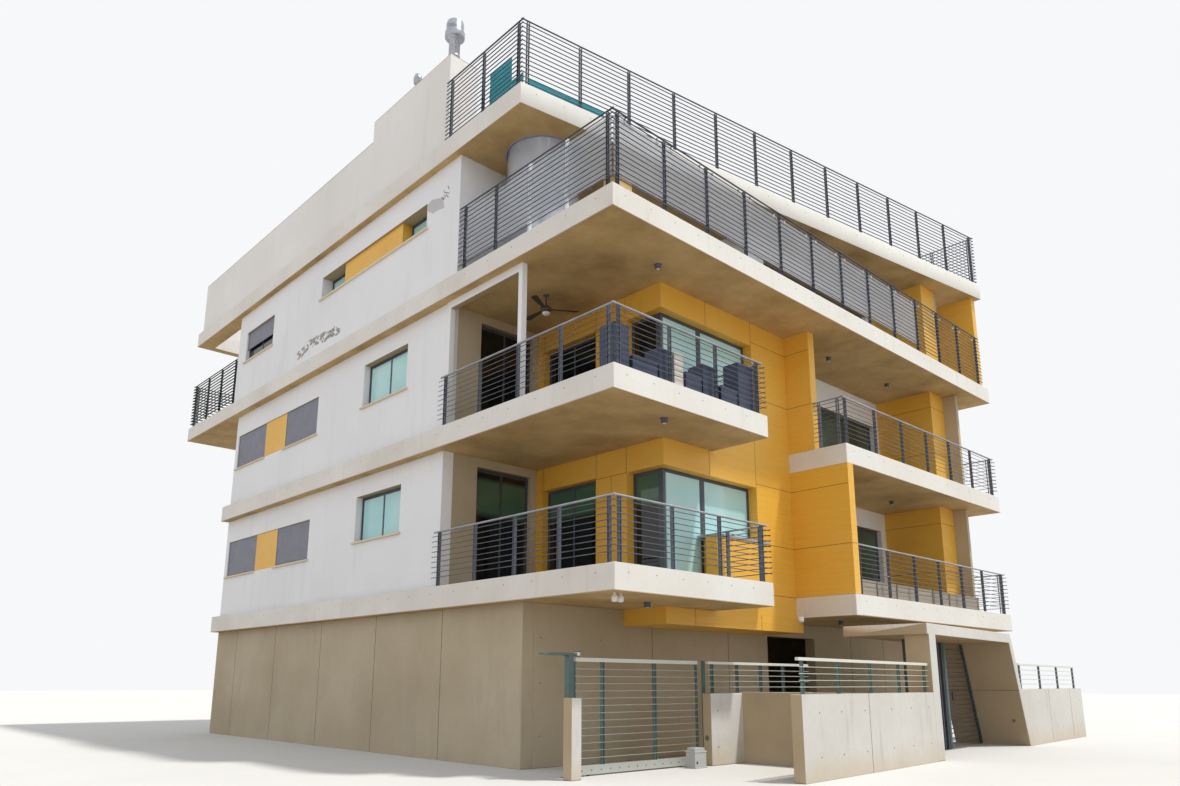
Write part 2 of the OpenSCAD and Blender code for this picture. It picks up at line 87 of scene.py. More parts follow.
class Graph:
    """A node tree, to which nodes are added."""

    def __init__(self, tree):
        self.tree = tree

    def put(self, node, key, value):
        """Gives a node's input a value, or what a socket gives."""
        if isinstance(value, bpy.types.NodeSocket):
            self.tree.links.new(value, node.inputs[key])
        else:
            node.inputs[key].default_value = value

    def add(self, kind, inputs, **settings):
        made = self.tree.nodes.new("ShaderNode" + kind)
        for key, value in settings.items():
            setattr(made, key, value)
        for key, value in inputs.items():
            self.put(made, key, value)
        return made

    def math(self, kind, first, second):
        return self.add("Math", {0: first, 1: second}, operation=kind).outputs["Value"]

    def seen_plainly(self):
        """1 for rays from the camera, mirrored rays and rays through glass, 0 for all others."""
        rays = self.add("LightPath", {}).outputs
        shown = self.math("MAXIMUM", rays["Is Camera Ray"], rays["Is Glossy Ray"])
        return self.math("MAXIMUM", shown, rays["Is Transmission Ray"])


class Finish(Graph):
    """A material built up from noises and masks in the object's own coordinates."""

    def __init__(self, name, rough, metal=0):
        FINISHES[name] = bpy.data.materials.new(name)
        FINISHES[name].use_nodes = True
        super().__init__(FINISHES[name].node_tree)
        self.shader = self.tree.nodes["Principled BSDF"]
        self.place = self.add("TexCoord", {}).outputs["Object"]
        self.relief = None
        self.put(self.shader, "Roughness", rough)
        self.put(self.shader, "Metallic", metal)

    def noise(self, scale, detail=4, stretch=(1, 1, 1), rough=0.55):
        mapped = self.add("Mapping", {"Vector": self.place, "Scale": stretch}).outputs["Vector"]
        inputs = {"Vector": mapped, "Scale": scale, "Detail": detail, "Roughness": rough}
        return self.add("TexNoise", inputs).outputs["Fac"]

    def ramp(self, source, low, high, low_value=0, high_value=1):
        inputs = {"From Min": low, "From Max": high, "To Min": low_value, "To Max": high_value}
        return self.add("MapRange", {"Value": source, **inputs}).outputs["Result"]

    def mix(self, share, first, second):
        """Colour between two, each a socket or an sRGB triple."""
        first, second = (tone(end) if isinstance(end, tuple) else end for end in (first, second))
        return self.add("Mix", {0: share, 6: first, 7: second}, data_type="RGBA").outputs[2]

    def stain(self, body, color, source, low, high, most=1):
        """Lays a colour over the body where the source is high."""
        return self.mix(self.ramp(source, low, high, 0, most), body, color)

    def part(self, vector, axis):
        return self.add("SeparateXYZ", {0: vector}).outputs[axis]

    def facing(self, axis, low, high):
        """From 0 to 1 as the surface turns from low to high along an axis of the frame."""
        normal = self.add("NewGeometry", {}).outputs["Normal"]
        return self.ramp(self.part(normal, axis), low, high)

    def band(self, axis, start, full, last, end):
        """1 between two places along an axis, with soft ends."""
        at = self.part(self.place, axis)
        return self.math("MULTIPLY", self.ramp(at, start, full), self.ramp(at, end, last))

    def color(self, body):
        self.put(self.shader, "Base Color", body)

    def rough(self, source, low, high, low_value, high_value):
        self.put(self.shader, "Roughness", self.ramp(source, low, high, low_value, high_value))

    def clear(self, share):
        """Lets the given share of the light through, as glass does."""
        self.put(self.shader, "Transmission Weight", share)
        self.put(self.shader, "IOR", 1.5)

    def bump(self, source, strength, distance):
        """Adds a relief over the earlier ones."""
        made = self.add("Bump", {"Height": source, "Strength": strength, "Distance": distance})
        if self.relief is not None:
            self.put(made, "Normal", self.relief)
        self.relief = made.outputs["Normal"]
        self.put(self.shader, "Normal", self.relief)


def concrete(name, light, dark, soffit=None, streaks=0.5, boards=0, foot=None, left=None, grime=1):
    """Fair-faced concrete, mottled and streaked, with weathered tops. It can have painted warm shade on the
    underside, board marks, a stained foot and two tones of painted light and shade on the faces that look
    left."""
    made = Finish(name, 0.86)
    cloud = made.ramp(made.noise(0.55, 5), 0.36, 0.68)
    body = made.mix(cloud, light, dark)
    # Painted light and shade on the faces that look left, in two tones
    if left:
        body = made.mix(made.facing(*LEFT_FACES), body, made.mix(cloud, *left))
    body = made.stain(body, (160, 150, 134), made.noise(9, 6, rough=0.7), 0.3, 0.75, 0.16 * grime)
    body = made.stain(body, (172, 162, 146), made.noise(5, 3, (1, 1, 0.12)), 0.58, 0.78, streaks)
    pores = made.ramp(made.noise(60, 2), 0.69, 0.74, 0, 0.4 * grime)
    body = made.mix(pores, body, (122, 114, 100))
    top = made.stain((172, 168, 160), (150, 146, 138), made.noise(1.4, 5), 0.35, 0.7)
    body = made.mix(made.facing(*TOPS), body, top)
    if foot:
        ragged = made.ramp(made.noise(1.6, 4), 0, 1, -0.28, 0.28)
        height = made.math("ADD", made.part(made.place, 2), ragged)
        body = made.stain(body, foot, height, 0.42, 0.02, 0.6)
    # Painted warm shade and bounce light on the undersides
    if soffit:
        under = made.stain(soffit, (164, 134, 88), made.noise(0.8, 6, rough=0.65), 0.35, 0.7)
        body = made.mix(made.facing(*UNDERSIDES), body, under)
    made.color(body)
    made.rough(made.noise(3), 0.3, 0.7, 0.78, 0.94)
    if boards:
        made.bump(made.noise(1, 2, (2, 2, 11)), 0.25 * boards, 0.01)
    made.bump(made.noise(45, 5, rough=0.7), 0.22, 0.004)
    made.bump(pores, 0.25, -0.004)


def render_coat(name, light, dark):
    """Fine sand render, almost plain, with faint vertical weathering and painted warm shade on its
    undersides.
    """
    made = Finish(name, 0.92)
    body = made.stain(light, dark, made.noise(0.35, 4), 0.36, 0.7)
    body = made.stain(body, (182, 176, 168), made.noise(3.5, 3, (1, 1, 0.1)), 0.56, 0.78, 0.14)
    body = made.stain(body, (178, 172, 164), made.noise(90, 2), 0.62, 0.75, 0.15)
    # Painted warm shade and bounce light on the undersides
    body = made.mix(made.facing(*UNDERSIDES), body, (178, 156, 122))
    body = made.mix(made.facing(*TOPS), body, (168, 164, 158))
    made.color(body)
    made.bump(made.noise(160, 3, rough=0.6), 0.35, 0.002)
    made.bump(made.noise(6, 3), 0.12, 0.004)


def cladding(name, base, deep, pale):
    """Coloured facade panels with a fine lengthwise grain."""
    made = Finish(name, 0.45)
    lines = made.ramp(made.noise(2, 6, (0.7, 0.7, 26), 0.65), 0.32, 0.72)
    body = made.mix(lines, base, deep)
    body = made.stain(body, pale, made.noise(0.5, 3), 0.4, 0.7, 0.45)
    body = made.stain(body, (176, 118, 40), made.noise(4, 4, (1, 1, 0.15)), 0.62, 0.8, 0.2)
    made.color(body)
    made.rough(lines, 0, 1, 0.38, 0.55)
    made.bump(lines, 0.12, 0.002)
    made.bump(made.noise(120, 3), 0.06, 0.001)


def painted(name, base, wear_and_top_light, rough=0.42, metal=0):
    """Painted or coated metal with light wear and dust, and a painted highlight on its top faces."""
    made = Finish(name, rough, metal)
    body = made.stain(base, wear_and_top_light, made.noise(3, 4), 0.38, 0.7, 0.5)
    # Painted highlight: top faces take the lighter wear colour, as if lit from above
    body = made.mix(made.facing(*TOPS), body, wear_and_top_light)
    body = made.stain(body, wear_and_top_light, made.noise(40, 3), 0.66, 0.76, 0.4)
    made.color(body)
    made.rough(made.noise(8), 0.3, 0.7, rough - 0.07, rough + 0.13)
    made.bump(made.noise(220, 2), 0.06, 0.0006)


def bare_metal(name):
    """Galvanised sheet with soft spangles and vertical brushing."""
    made = Finish(name, 0.3, 0.9)
    cells = made.add("TexVoronoi", {"Vector": made.place, "Scale": 26})
    body = made.mix(made.ramp(cells.outputs["Distance"], 0, 0.8), (196, 200, 208), (158, 162, 172))
    body = made.stain(body, (142, 142, 148), made.noise(1.2, 4), 0.4, 0.7, 0.6)
    made.color(body)
    made.rough(made.noise(5, 4), 0.3, 0.7, 0.2, 0.4)
    made.bump(made.noise(1.5, 2, (1, 1, 0.4)), 0.1, 0.01)


def glazing(name, tint, deep, clear, rough, wave=0):
    """Sheet glass, glossy and clear to the given share, which can have a slight wave."""
    made = Finish(name, rough)
    made.color(made.stain(tint, deep, made.noise(0.6, 2), 0.35, 0.7))
    made.clear(clear)
    if wave:
        made.bump(made.noise(0.8, 2), wave, 0.01)


def window_sheet(name):
    """Window glass with a painted reflection of the sky on the left side, and painted darkness of the rooms
    behind it elsewhere.
    """
    made = Finish(name, 0.03)
    # Pale cyan: painted reflection of the sky
    body = made.stain((208, 248, 248), (180, 234, 238), made.noise(0.6, 2), 0.35, 0.7)
    # Dark tones laid on by place below: painted shade of the rooms behind the glass
    deep = made.stain((58, 78, 74), (96, 128, 122), made.noise(0.5, 3), 0.35, 0.65)
    body = made.mix(made.band(1, -6.5, -6.45, -4, -3.9), body, deep)
    corner = made.band(0, -7.6, -7.5, -5.44, -5.38)
    body = made.mix(corner, body, (30, 32, 32))
    lower_storey = made.band(2, 4.6, 4.75, 5.35, 5.45)
    body = made.mix(made.math("MULTIPLY", lower_storey, corner), body, (84, 120, 98))
    body = made.stain(body, (40, 42, 44), made.part(made.place, 1), 4.2, 4.3)
    made.color(body)
    made.clear(0.14)
    made.bump(made.noise(0.8, 2), 0.05, 0.01)


def cloth(name, base, shade, weave=420):
    """Woven mesh or tarpaulin."""
    made = Finish(name, 0.8)
    weft, warp = (made.noise(weave, 1, stretch) for stretch in ((1, 1, 0.2), (0.2, 0.2, 1)))
    threads = made.math("MULTIPLY", weft, warp)
    body = made.stain(base, shade, made.noise(1.5, 4), 0.35, 0.7)
    made.color(made.stain(body, shade, threads, 0.15, 0.4, 0.35))
    made.put(made.shader, "Sheen Weight", 0.2)
    made.bump(threads, 0.3, 0.001)


# Walls and stone
# The third colour of a concrete is painted warm shade on its undersides, and the left pairs are painted light
# and shade on the faces that look left
concrete("slab_concrete", (239, 238, 233), (231, 228, 221), (212, 182, 130), 0.18,
         left=((243, 239, 234), (229, 223, 215)), grime=0.5)
concrete("wall_concrete", (200, 186, 160), (184, 168, 140), (168, 146, 112), boards=1)
concrete("street_concrete", (224, 223, 219), (213, 211, 205), (174, 154, 122), 0.4, 0.5,
         (206, 190, 162), ((196, 176, 144), (184, 162, 130)), 0.8)
render_coat("white_render", (247, 247, 250), (240, 240, 243))
render_coat("parapet_render", (245, 242, 240), (238, 234, 231))
cladding("ochre_panel", (243, 190, 76), (234, 174, 56), (249, 202, 102))
concrete("sill_stone", (242, 226, 198), (230, 212, 184), streaks=0.2)
concrete("plaster_damage", (172, 168, 163), (146, 142, 138), streaks=0.3)
concrete("plaster_patch", (214, 213, 216), (202, 200, 204), streaks=0.2)
painted("coping", (188, 162, 134), (198, 180, 160), 0.6)
painted("joint_shadow", (112, 78, 24), (88, 62, 24), 0.8)
painted("seam_shadow", (120, 106, 84), (96, 86, 70), 0.9)
painted("tie_hole", (128, 118, 102), (98, 90, 80), 0.9)

# Metal
painted("dark_steel", (64, 69, 82), (92, 97, 110))
painted("bar_steel", (72, 76, 86), (124, 128, 137), 0.38, 0.2)
painted("handrail_steel", (150, 154, 166), (200, 203, 210), 0.35)
painted("light_posts", (96, 102, 114), (122, 128, 138), 0.4, 0.2)
# Pale paint: the white of the small lamps, and painted sunlight on two terrace rail posts
painted("pale_posts", (240, 243, 248), (248, 250, 252), 0.4)
painted("gasket", (34, 36, 38), (48, 50, 52), 0.7)
# Darker copy of the rail paint: painted shade for the high rails seen from below
painted("slate_steel", (68, 73, 86), (94, 100, 112), 0.4)
painted("grey_aluminium", (74, 80, 92), (98, 104, 114), 0.38, 0.2)
painted("grey_shutter", (126, 128, 142), (142, 144, 156), 0.5)
painted("slat_shadow", (70, 72, 80), (84, 86, 94), 0.7)
painted("pale_steel", (222, 224, 214), (230, 230, 222), 0.45)
painted("thin_rails", (176, 184, 178), (204, 208, 202), 0.45)
painted("post_steel", (84, 106, 102), (112, 132, 127), 0.45)
painted("gate_foot", (192, 197, 190), (208, 211, 204), 0.5)
painted("gate_stringer", (48, 62, 68), (76, 90, 94))
painted("gate_tube", (116, 146, 146), (140, 164, 162), 0.4)
# Violet grey: painted shade of the roof opening's inner face under the sky
painted("opening_liner", (150, 146, 168), (172, 170, 186), 0.5)
painted("fan_blades", (70, 66, 60), (88, 84, 78), 0.5)
bare_metal("bare_metal")

# Glass, cloth and housings
window_sheet("window_glass")
glazing("rail_glass", (240, 242, 246), (230, 234, 240), 0.6, 0.08)
glazing("shaft_glass", (240, 242, 247), (226, 230, 240), 0.5, 0.06, 0.05)
painted("bulb_glass", (236, 234, 226), (250, 248, 240), 0.15)
cloth("teal_cloth", (46, 190, 204), (32, 164, 180))
cloth("blind_fabric", (236, 240, 236), (210, 220, 214), 200)
painted("motor_housing", (200, 202, 200), (176, 178, 176), 0.55)
concrete("planter_cement", (190, 180, 165), (174, 164, 150))
painted("dark_planter", (58, 68, 92), (78, 88, 110), 0.5)
painted("pale_planter", (222, 216, 208), (236, 231, 224), 0.4)
painted("peach_planter", (234, 192, 128), (244, 212, 158), 0.5)
concrete("soil", (78, 62, 48), (58, 46, 36), streaks=0.2)


# Shapes
def circle(sides, start=0):
    """Cosine and sine of evenly spaced turns."""
    turns = [2 * pi * (i + start) / sides for i in range(sides)]
    return [(cos(t), sin(t)) for t in turns]


def ring_faces(sides, first, second):
    """Faces between two rings of points, given by the place of each ring's first point."""
    return [(first + i, first + (i + 1) % sides, second + (i + 1) % sides, second + i) for i in range(sides)]


BLOCK_FACES = [(3, 2, 1, 0), (4, 5, 6, 7)] + ring_faces(4, 0, 4)


def steps(first, last, pitch):
    """Places from first to short of last."""
    return [first + i * pitch for i in range(ceil((last - first) / pitch))]


def soften(piece, width):
    edge = piece.modifiers.new("edges", "BEVEL")
    edge.width = width
    edge.segments = 2
    edge.limit_method = "ANGLE"
    edge.angle_limit = radians(50)


def placed(name, data):
    """New object in the scene."""
    made = bpy.data.objects.new(name, data)
    scene.collection.objects.link(made)
    return made


class Shape:
    """Gathers faces in the plan's coordinates, and makes one piece of them."""

    def __init__(self, place=None):
        self.points, self.faces, self.marks = [], [], []
        self.place = place or Matrix.Identity(4)
        self.round_faces = set()

    def add(self, points, faces, mark=0, smooth=False):
        """Takes in faces, each with the place of its finish in the piece's list as its mark."""
        start = len(self.points)
        self.points += [self.place @ Vector(p) - MIDDLE for p in points]
        for face in faces:
            if smooth and len(face) == 4:
                self.round_faces.add(len(self.faces))
            self.faces.append([start + i for i in face])
            self.marks.append(mark)

    def box(self, x0, x1, y0, y1, z0, z1, mark=0):
        points = [(x, y, z) for z in (z0, z1) for x, y in ((x0, y0), (x1, y0), (x1, y1), (x0, y1))]
        self.add(points, BLOCK_FACES, mark)

    def bar(self, a, b, width, height=None, sides=8, mark=0):
        """Rod from a to b with an oval section, its width level."""
        a, b = Vector(a), Vector(b)
        height = height or width
        ahead = (b - a).normalized()
        across = ahead.cross(UP)
        across = Vector((1, 0, 0)) if across.length < 0.001 else across.normalized()
        over = across.cross(ahead)
        ring = [across * c * width / 2 + over * s * height / 2 for c, s in circle(sides, 0.5)]
        self.add([end + p for end in (a, b) for p in ring], ring_faces(sides, 0, sides), mark, True)
        self.add([a + p for p in ring], [list(range(sides))[::-1]], mark)
        self.add([b + p for p in ring], [list(range(sides))], mark)

    def turned(self, centre, profile, sides=32, mark=0):
        """Turns a profile of radius and height pairs round an upright line."""
        turns = circle(sides)
        points = [(centre[0] + radius * c, centre[1] + radius * s, centre[2] + height)
                  for radius, height in profile for c, s in turns]
        rows = [row * sides for row in range(len(profile))]
        faces = [face for row, above in zip(rows, rows[1:]) for face in ring_faces(sides, row, above)]
        self.add(points, faces, mark, True)

    def disc(self, centre, normal, radius, sides=10, mark=0):
        """Plug with a slightly dished face and a skirt into its wall."""
        normal = Vector(normal).normalized()
        side = normal.orthogonal().normalized()
        other = normal.cross(side)
        centre = Vector(centre) + normal * 0.0007
        rim = [centre + (side * c + other * s) * radius for c, s in circle(sides)]
        inner = [p + (centre - p) * 0.3 - normal * 0.0006 for p in rim]
        foot = [p - normal * 0.004 for p in rim]
        faces = ring_faces(sides, 0, sides) + ring_faces(sides, 2 * sides, 0)
        self.add(rim + inner + foot, faces + [list(range(sides, 2 * sides))], mark)

    def build(self, name, finishes, stands_for=(), bevel=0, body="building"):
        mesh = bpy.data.meshes.new(name)
        mesh.from_pydata(self.points, [], self.faces)
        for finish in finishes.split():
            mesh.materials.append(FINISHES[finish])
        mesh.polygons.foreach_set("material_index", self.marks)
        work = bmesh.new()
        work.from_mesh(mesh)
        bmesh.ops.recalc_face_normals(work, faces=work.faces)
        for face in work.faces:
            face.smooth = face.index in self.round_faces
        work.to_mesh(mesh)
        work.free()
        piece = placed(name, mesh)
        if bevel:
            soften(piece, bevel)
        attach(piece, body)
        if stands_for:
            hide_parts(*stands_for)
        return piece


class Wall:
    """The face of a wall and what is drawn on it: u along it, d into it, z up."""

    def __init__(self, shape, face, plane):
        self.shape, self.face, self.plane = shape, face, plane

    def box(self, u0, u1, d0, d1, z0, z1, mark=0):
        first, last = self.plane + d0, self.plane + d1
        if self.face in ("right", "back"):
            first, last = self.plane - d1, self.plane - d0
        if self.face in ("front", "back"):
            self.shape.box(u0, u1, first, last, z0, z1, mark)
        else:
            self.shape.box(first, last, u0, u1, z0, z1, mark)

    def ring(self, u0, u1, d0, d1, z0, z1, width, mark=0):
        for u in (u0, u1 - width):
            self.box(u, u + width, d0, d1, z0, z1, mark)
        for z in (z0, z1 - width):
            self.box(u0 + width, u1 - width, d0, d1, z, z + width, mark)

    def window(self, u0, u1, z0, z1, splits=()):
        """Frame with a sash ring and a dark gasket round each pane."""
        self.ring(u0, u1, 0, 0.06, z0, z1, 0.035)
        sash, lap, low, high = 0.045, 0.02, z0 + 0.02, z1 - 0.02
        lines = [u0 + lap] + [u0 + s * (u1 - u0) for s in splits] + [u1 - lap]
        for k, (first, last) in enumerate(zip(lines, lines[1:])):
            step = 0.006 if k % 2 else 0
            left = first - (lap if k else 0)
            right = last + (lap if k < len(splits) else 0)
            self.ring(left, right, 0.004 + step, 0.05 - step, low, high, sash)
            inside = sash - 0.004
            self.ring(left + inside, right - inside, 0.012, 0.046, low + inside, high - inside, 0.006, 1)

    def shutter(self, u0, u1, d0, z0, z1):
        """Roller shutter of narrow slats between guides, with its bottom bar."""
        guide, bottom, gap = 0.03, 0.05, 0.004
        for u in (u0, u1 - guide):
            self.box(u, u + guide, d0 - 0.006, d0 + 0.03, z0, z1)
        first, last = u0 + guide + 0.002, u1 - guide - 0.002
        self.box(first, last, d0 - 0.002, d0 + 0.018, z0 + 0.002, z0 + bottom - 0.002)
        count = max(1, round((z1 - z0 - bottom) / 0.045))
        pitch = (z1 - z0 - bottom) / count
        for i in range(count):
            low = z0 + bottom + i * pitch
            self.box(first, last, d0, d0 + 0.012, low + gap, low + pitch)
            self.box(first + 0.002, last - 0.002, d0 + 0.004, d0 + 0.014, low, low + gap, 1)

    def upright(self, u, z0, z1, width=JOINT):
        """Upright joint between panels or pours."""
        self.box(u - width / 2, u + width / 2, -PROUD, SUNK, z0, z1)

    def course(self, u0, u1, z):
        """Level joint with its lower edge at z."""
        self.box(u0, u1, -PROUD, SUNK, z, z + JOINT)

    def hole(self, u, z, radius=HOLE, sides=10):
        """Plugged tie hole in a face that looks to the front or to the left."""
        out = self.plane - HOLE_PROUD
        place, normal = ((u, out, z), (0, -1, 0)) if self.face == "front" else ((out, u, z), (-1, 0, 0))
        self.shape.disc(place, normal, radius, sides)


# Finishes of the CAD nodes
def dress(names, finish, bevel=0.012):
    """Gives CAD nodes their material and softened edges."""
    for name in names.split():
        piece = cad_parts[name]
        piece.data.materials.clear()
        piece.data.materials.append(FINISHES[finish])
        if bevel:
            weld = piece.modifiers.new("weld", "WELD")
            weld.merge_threshold = 0.0002
            soften(piece, bevel)


dress("first_floor_slab second_floor_slab terrace_slab roof_slab", "slab_concrete")
dress("ground_front_wall ground_side_walls ground_back_wall loggia_walls end_walls", "wall_concrete")
dress("street_walls entrance_portal", "street_concrete")
dress("left_walls right_walls back_walls front_walls loggia_frame", "white_render", 0.006)
dress("terrace_screen", "rail_glass", 0)
dress("roof_parapet", "parapet_render", 0.008)
dress("clad_walls clad_skirt fin_walls clad_piers left_panels", "ochre_panel", 0.004)
dress("left_sills", "sill_stone", 0.006)
dress("left_glass front_glass", "window_glass", 0)

# Rails of posts, bars and a handrail
BAR, BAR_PITCH, BAR_IN, LOWEST_BAR = 0.015, 0.0975, 0.009, 0.07
POST_END, POST_PITCH = 0.15, 1.18
RAIL_IN, HANDRAIL_IN = 0.04, 0.03
KNOB_IN = RAIL_IN + HANDRAIL_IN


def rail_run(shape, a, b, z, height, over=(0.009, 0.009), posts=None, thick=0):
    """Rail from plan point a to b; marks: 0 bars, 1 handrail, 2 posts, 3 pale posts with painted sunlight.
    The posts are spread evenly, or given by their places, or by a number of bays, and then the second and
    third last are painted pale as sunlit. High rails give their bars' thickness."""
    a, b = Vector((*a, z)), Vector((*b, z))
    ahead = (b - a).normalized()
    inward = Vector((-ahead.y, ahead.x, 0))
    length = (b - a).length

    def block(foot, along, depth, rise, mark):
        """Small block, given by its reach along the rail, into the building and upward."""
        plan = ((along[0], depth[0]), (along[1], depth[0]), (along[1], depth[1]), (along[0], depth[1]))
        corners = [foot + ahead * u + inward * v + UP * w for w in rise for u, v in plan]
        shape.add(corners, BLOCK_FACES, mark)

    level = height - 0.005 - BAR_PITCH
    while level > LOWEST_BAR:
        at = UP * level + inward * BAR_IN
        shape.bar(a + at - ahead * over[0], b + at + ahead * over[1], thick or BAR, sides=6)
        level -= BAR_PITCH

    # Two posts of a run given by bays take painted sunlight
    pale = isinstance(posts, int)
    if posts is None or pale:
        spread = length - 2 * POST_END
        number = posts or max(1, round(spread / POST_PITCH))
        posts = [POST_END + i * spread / number for i in range(number + 1)]
    for i, at in enumerate(posts):
        foot = a + ahead * at
        mark = 3 if pale and i in (len(posts) - 3, len(posts) - 2) else 2
        for side in (-0.023, 0.023):
            block(foot + ahead * side, (-0.0045, 0.0045), (0.019, 0.066), (0, height - 0.02), mark)
        block(foot, (-0.06, 0.06), (0.012, 0.072), (0, 0.01), mark)
        for u in (-0.045, 0.045):
            bolt = foot + ahead * u + inward * 0.042
            shape.bar(bolt + UP * 0.01, bolt + UP * 0.022, 0.014, sides=6, mark=mark)

    if thick:
        top = UP * (height - 0.014) + inward * 0.018
        shape.bar(a + top - ahead * 0.012, b + top + ahead * 0.012, 0.036, 0.026, 10, 1)
    else:
        top = UP * (height - 0.019) + inward * HANDRAIL_IN
        shape.bar(a + top, b + top, 0.052, 0.036, 12, 1)


def corner_knob(shape, point, z, height):
    """Rounded turn of the handrail where two runs meet."""
    profile = [(0, 0), (0.024, 0.003), (0.031, 0.018), (0.024, 0.033), (0, 0.036)]
    shape.turned((*point, z + height - 0.037), profile, 16, 1)


CORNER = (RAIL_IN, RAIL_IN)
LOW_RAIL = "bar_steel handrail_steel light_posts"
# High rails take the darker copy of the rail paint, painted shade, and two posts with painted sunlight
HIGH_RAIL = "slate_steel slate_steel slate_steel pale_posts"

rails = Shape()
for level, end, back in ((F1, CORNER_1, 1.03), (F2, CORNER_2, CLAD_Y)):
    right = end - RAIL_IN
    rail_run(rails, (RAIL_IN, LOGGIA_Y - 0.03), CORNER, level, RAIL_H, (0.04, 0.009))
    rail_run(rails, CORNER, (right, RAIL_IN), level, RAIL_H, (0.009, 0.07))
    rail_run(rails, (right, RAIL_IN), (right, back), level, RAIL_H, (0.06, 0), [POST_END, back - 0.16])
    for x in (KNOB_IN, end - KNOB_IN):
        corner_knob(rails, (x, KNOB_IN), level, RAIL_H)
rails.build("corner_rail_bars", LOW_RAIL, ["corner_balcony_rails"])

rails = Shape()
front, right, side = RAIL_IN - RIGHT_OUT, FRONT_W - RAIL_IN, SIDE_Y - RAIL_IN
rail_run(rails, (FIN_X + 0.22, front), (right, front), F1, RAIL_H, (0, 0.06))
rail_run(rails, (FIN_X + RAIL_IN, PIER_Y), (FIN_X + RAIL_IN, front), F2, RAIL_H, (-0.01, 0.009), [0.12, 0.56])
rail_run(rails, (FIN_X + RAIL_IN, front), (right, front), F2, RAIL_H, (0.009, 0.06))
corner_knob(rails, (FIN_X + KNOB_IN, front + HANDRAIL_IN), F2, RAIL_H)
for level in (F1, F2):
    rail_run(rails, (right, front), (right, side), level, RAIL_H, (0.04, 0.009))
    rail_run(rails, (right, side), (RIGHT_X, side), level, RAIL_H, (0.009, 0))
    corner_knob(rails, (FRONT_W - KNOB_IN, front + HANDRAIL_IN), level, RAIL_H)
rails.build("right_rail_bars", LOW_RAIL, ["right_balcony_rails"])

rails = Shape()
rail_run(rails, (RAIL_IN, TOP_Y - 0.02), CORNER, F3, TERRACE_RAIL_H, (0.06, 0.009), 4, 0.02)
rail_run(rails, CORNER, (TERRACE_W - 0.25, RAIL_IN), F3, TERRACE_RAIL_H, (0.009, 0.04), thick=0.02)
rails.build("terrace_rail_bars", HIGH_RAIL, ["terrace_rail"])

rails = Shape()
roof_left, roof_right, wall_right = ROOF_LEFT + RAIL_IN, ROOF_W - RAIL_IN, RIGHT_X + 0.01
roof_line = ((roof_left, PARAPET_Y - 0.03), (roof_left, ROOF_SKEW + 0.034), (roof_right, -0.003),
             (roof_right, side), (wall_right, side), (wall_right, PARAPET_Y))
for first, last in zip(roof_line, roof_line[1:]):
    rail_run(rails, first, last, ROOF, ROOF_RAIL_H, thick=0.022)
rails.build("roof_rail_bars", HIGH_RAIL, ["roof_rail"])

rails = Shape()
rear_right, rear_end, rear_start = REAR_X - RAIL_IN, REAR_Y - RAIL_IN, BACK_Y + 0.1
rear_line = ((RAIL_IN, rear_start), (RAIL_IN, rear_end), (rear_right, rear_end), (rear_right, rear_start))
for last, first in zip(rear_line, rear_line[1:]):
    rail_run(rails, first, last, F3, TERRACE_RAIL_H, (0.035, 0.009), thick=0.034)
rails.build("rear_rail_bars", "gasket gasket gasket", ["rear_rail"])


# Tarpaulins behind the roof rail
def hung_cloth(name, a, b, z0, z1):
    """Sheet between two plan points, hung upright with slight waves."""
    a, b = Vector((*a, 0)), Vector((*b, 0))
    ahead = (b - a).normalized()
    inward = Vector((-ahead.y, ahead.x, 0))
    length = (b - a).length
    across, tall, wave = max(12, round(length / 0.12)), 8, 0.012
    points = []
    for j in range(tall + 1):
        swell = wave * (0.4 + 0.6 * sin(pi * j / tall))
        for i in range(across + 1):
            s = length * i / across
            ripple = swell * sin(s * 2.7 + 0.6 * sin(j * 1.3))
            points.append(a + ahead * s + inward * ripple + UP * (z0 + (z1 - z0) * j / tall))
    row = across + 1
    faces = [(j * row + i, j * row + i + 1, (j + 1) * row + i + 1, (j + 1) * row + i)
             for j in range(tall) for i in range(across)]
    shape = Shape()
    shape.add(points, faces, 0, True)
    piece = shape.build(name, "teal_cloth", ["roof_screen"])


CLOTH_X, CLOTH_IN, CLOTH_Z = 0.095, 0.275, ROOF + 0.01
hung_cloth("side_tarpaulin", (CLOTH_X, 3.57), (CLOTH_X, 2.87), CLOTH_Z, ROOF + 0.99)
hung_cloth("low_tarpaulin", (CLOTH_X, 2.86), (CLOTH_X, 2.5), CLOTH_Z, ROOF + 0.44)
cloth_ends = [(ROOF_EDGE @ Vector((s, CLOTH_IN, 0))).xy for s in (0.3, 2.1)]
hung_cloth("front_tarpaulin", *cloth_ends, CLOTH_Z, ROOF + 0.37)

# Windows, by their places along the wall, their sills and their heads
HALVES, QUARTERS = (0.5,), (0.25, 0.5, 0.75)
FRAME_FINISHES = "grey_aluminium gasket"
GLASS_IN, RECESS_IN, BOX_X, BOX_END, CLAD_END = 0.19, 0.12, 3.93, 5.43, 5.44
REAR_WINDOW = (13.24, 15.09)

frames = Shape()
for level in (F1, F2):
    Wall(frames, "left", WALL_X + 0.15).window(6.4, 8.25, level + 1.245, level + 2.26, HALVES)
for first, last in ((5.61, 6.66), (9.29, 10.4)):
    Wall(frames, "left", TOP_X + 0.28).window(first, last, F3 + 1.47, F3 + 2.055)
Wall(frames, "left", TOP_X + 0.1).window(*REAR_WINDOW, F3 + 1.1, F3 + 2, HALVES)
frames.build("left_window_frames", FRAME_FINISHES, ["left_frames"], 0.002)

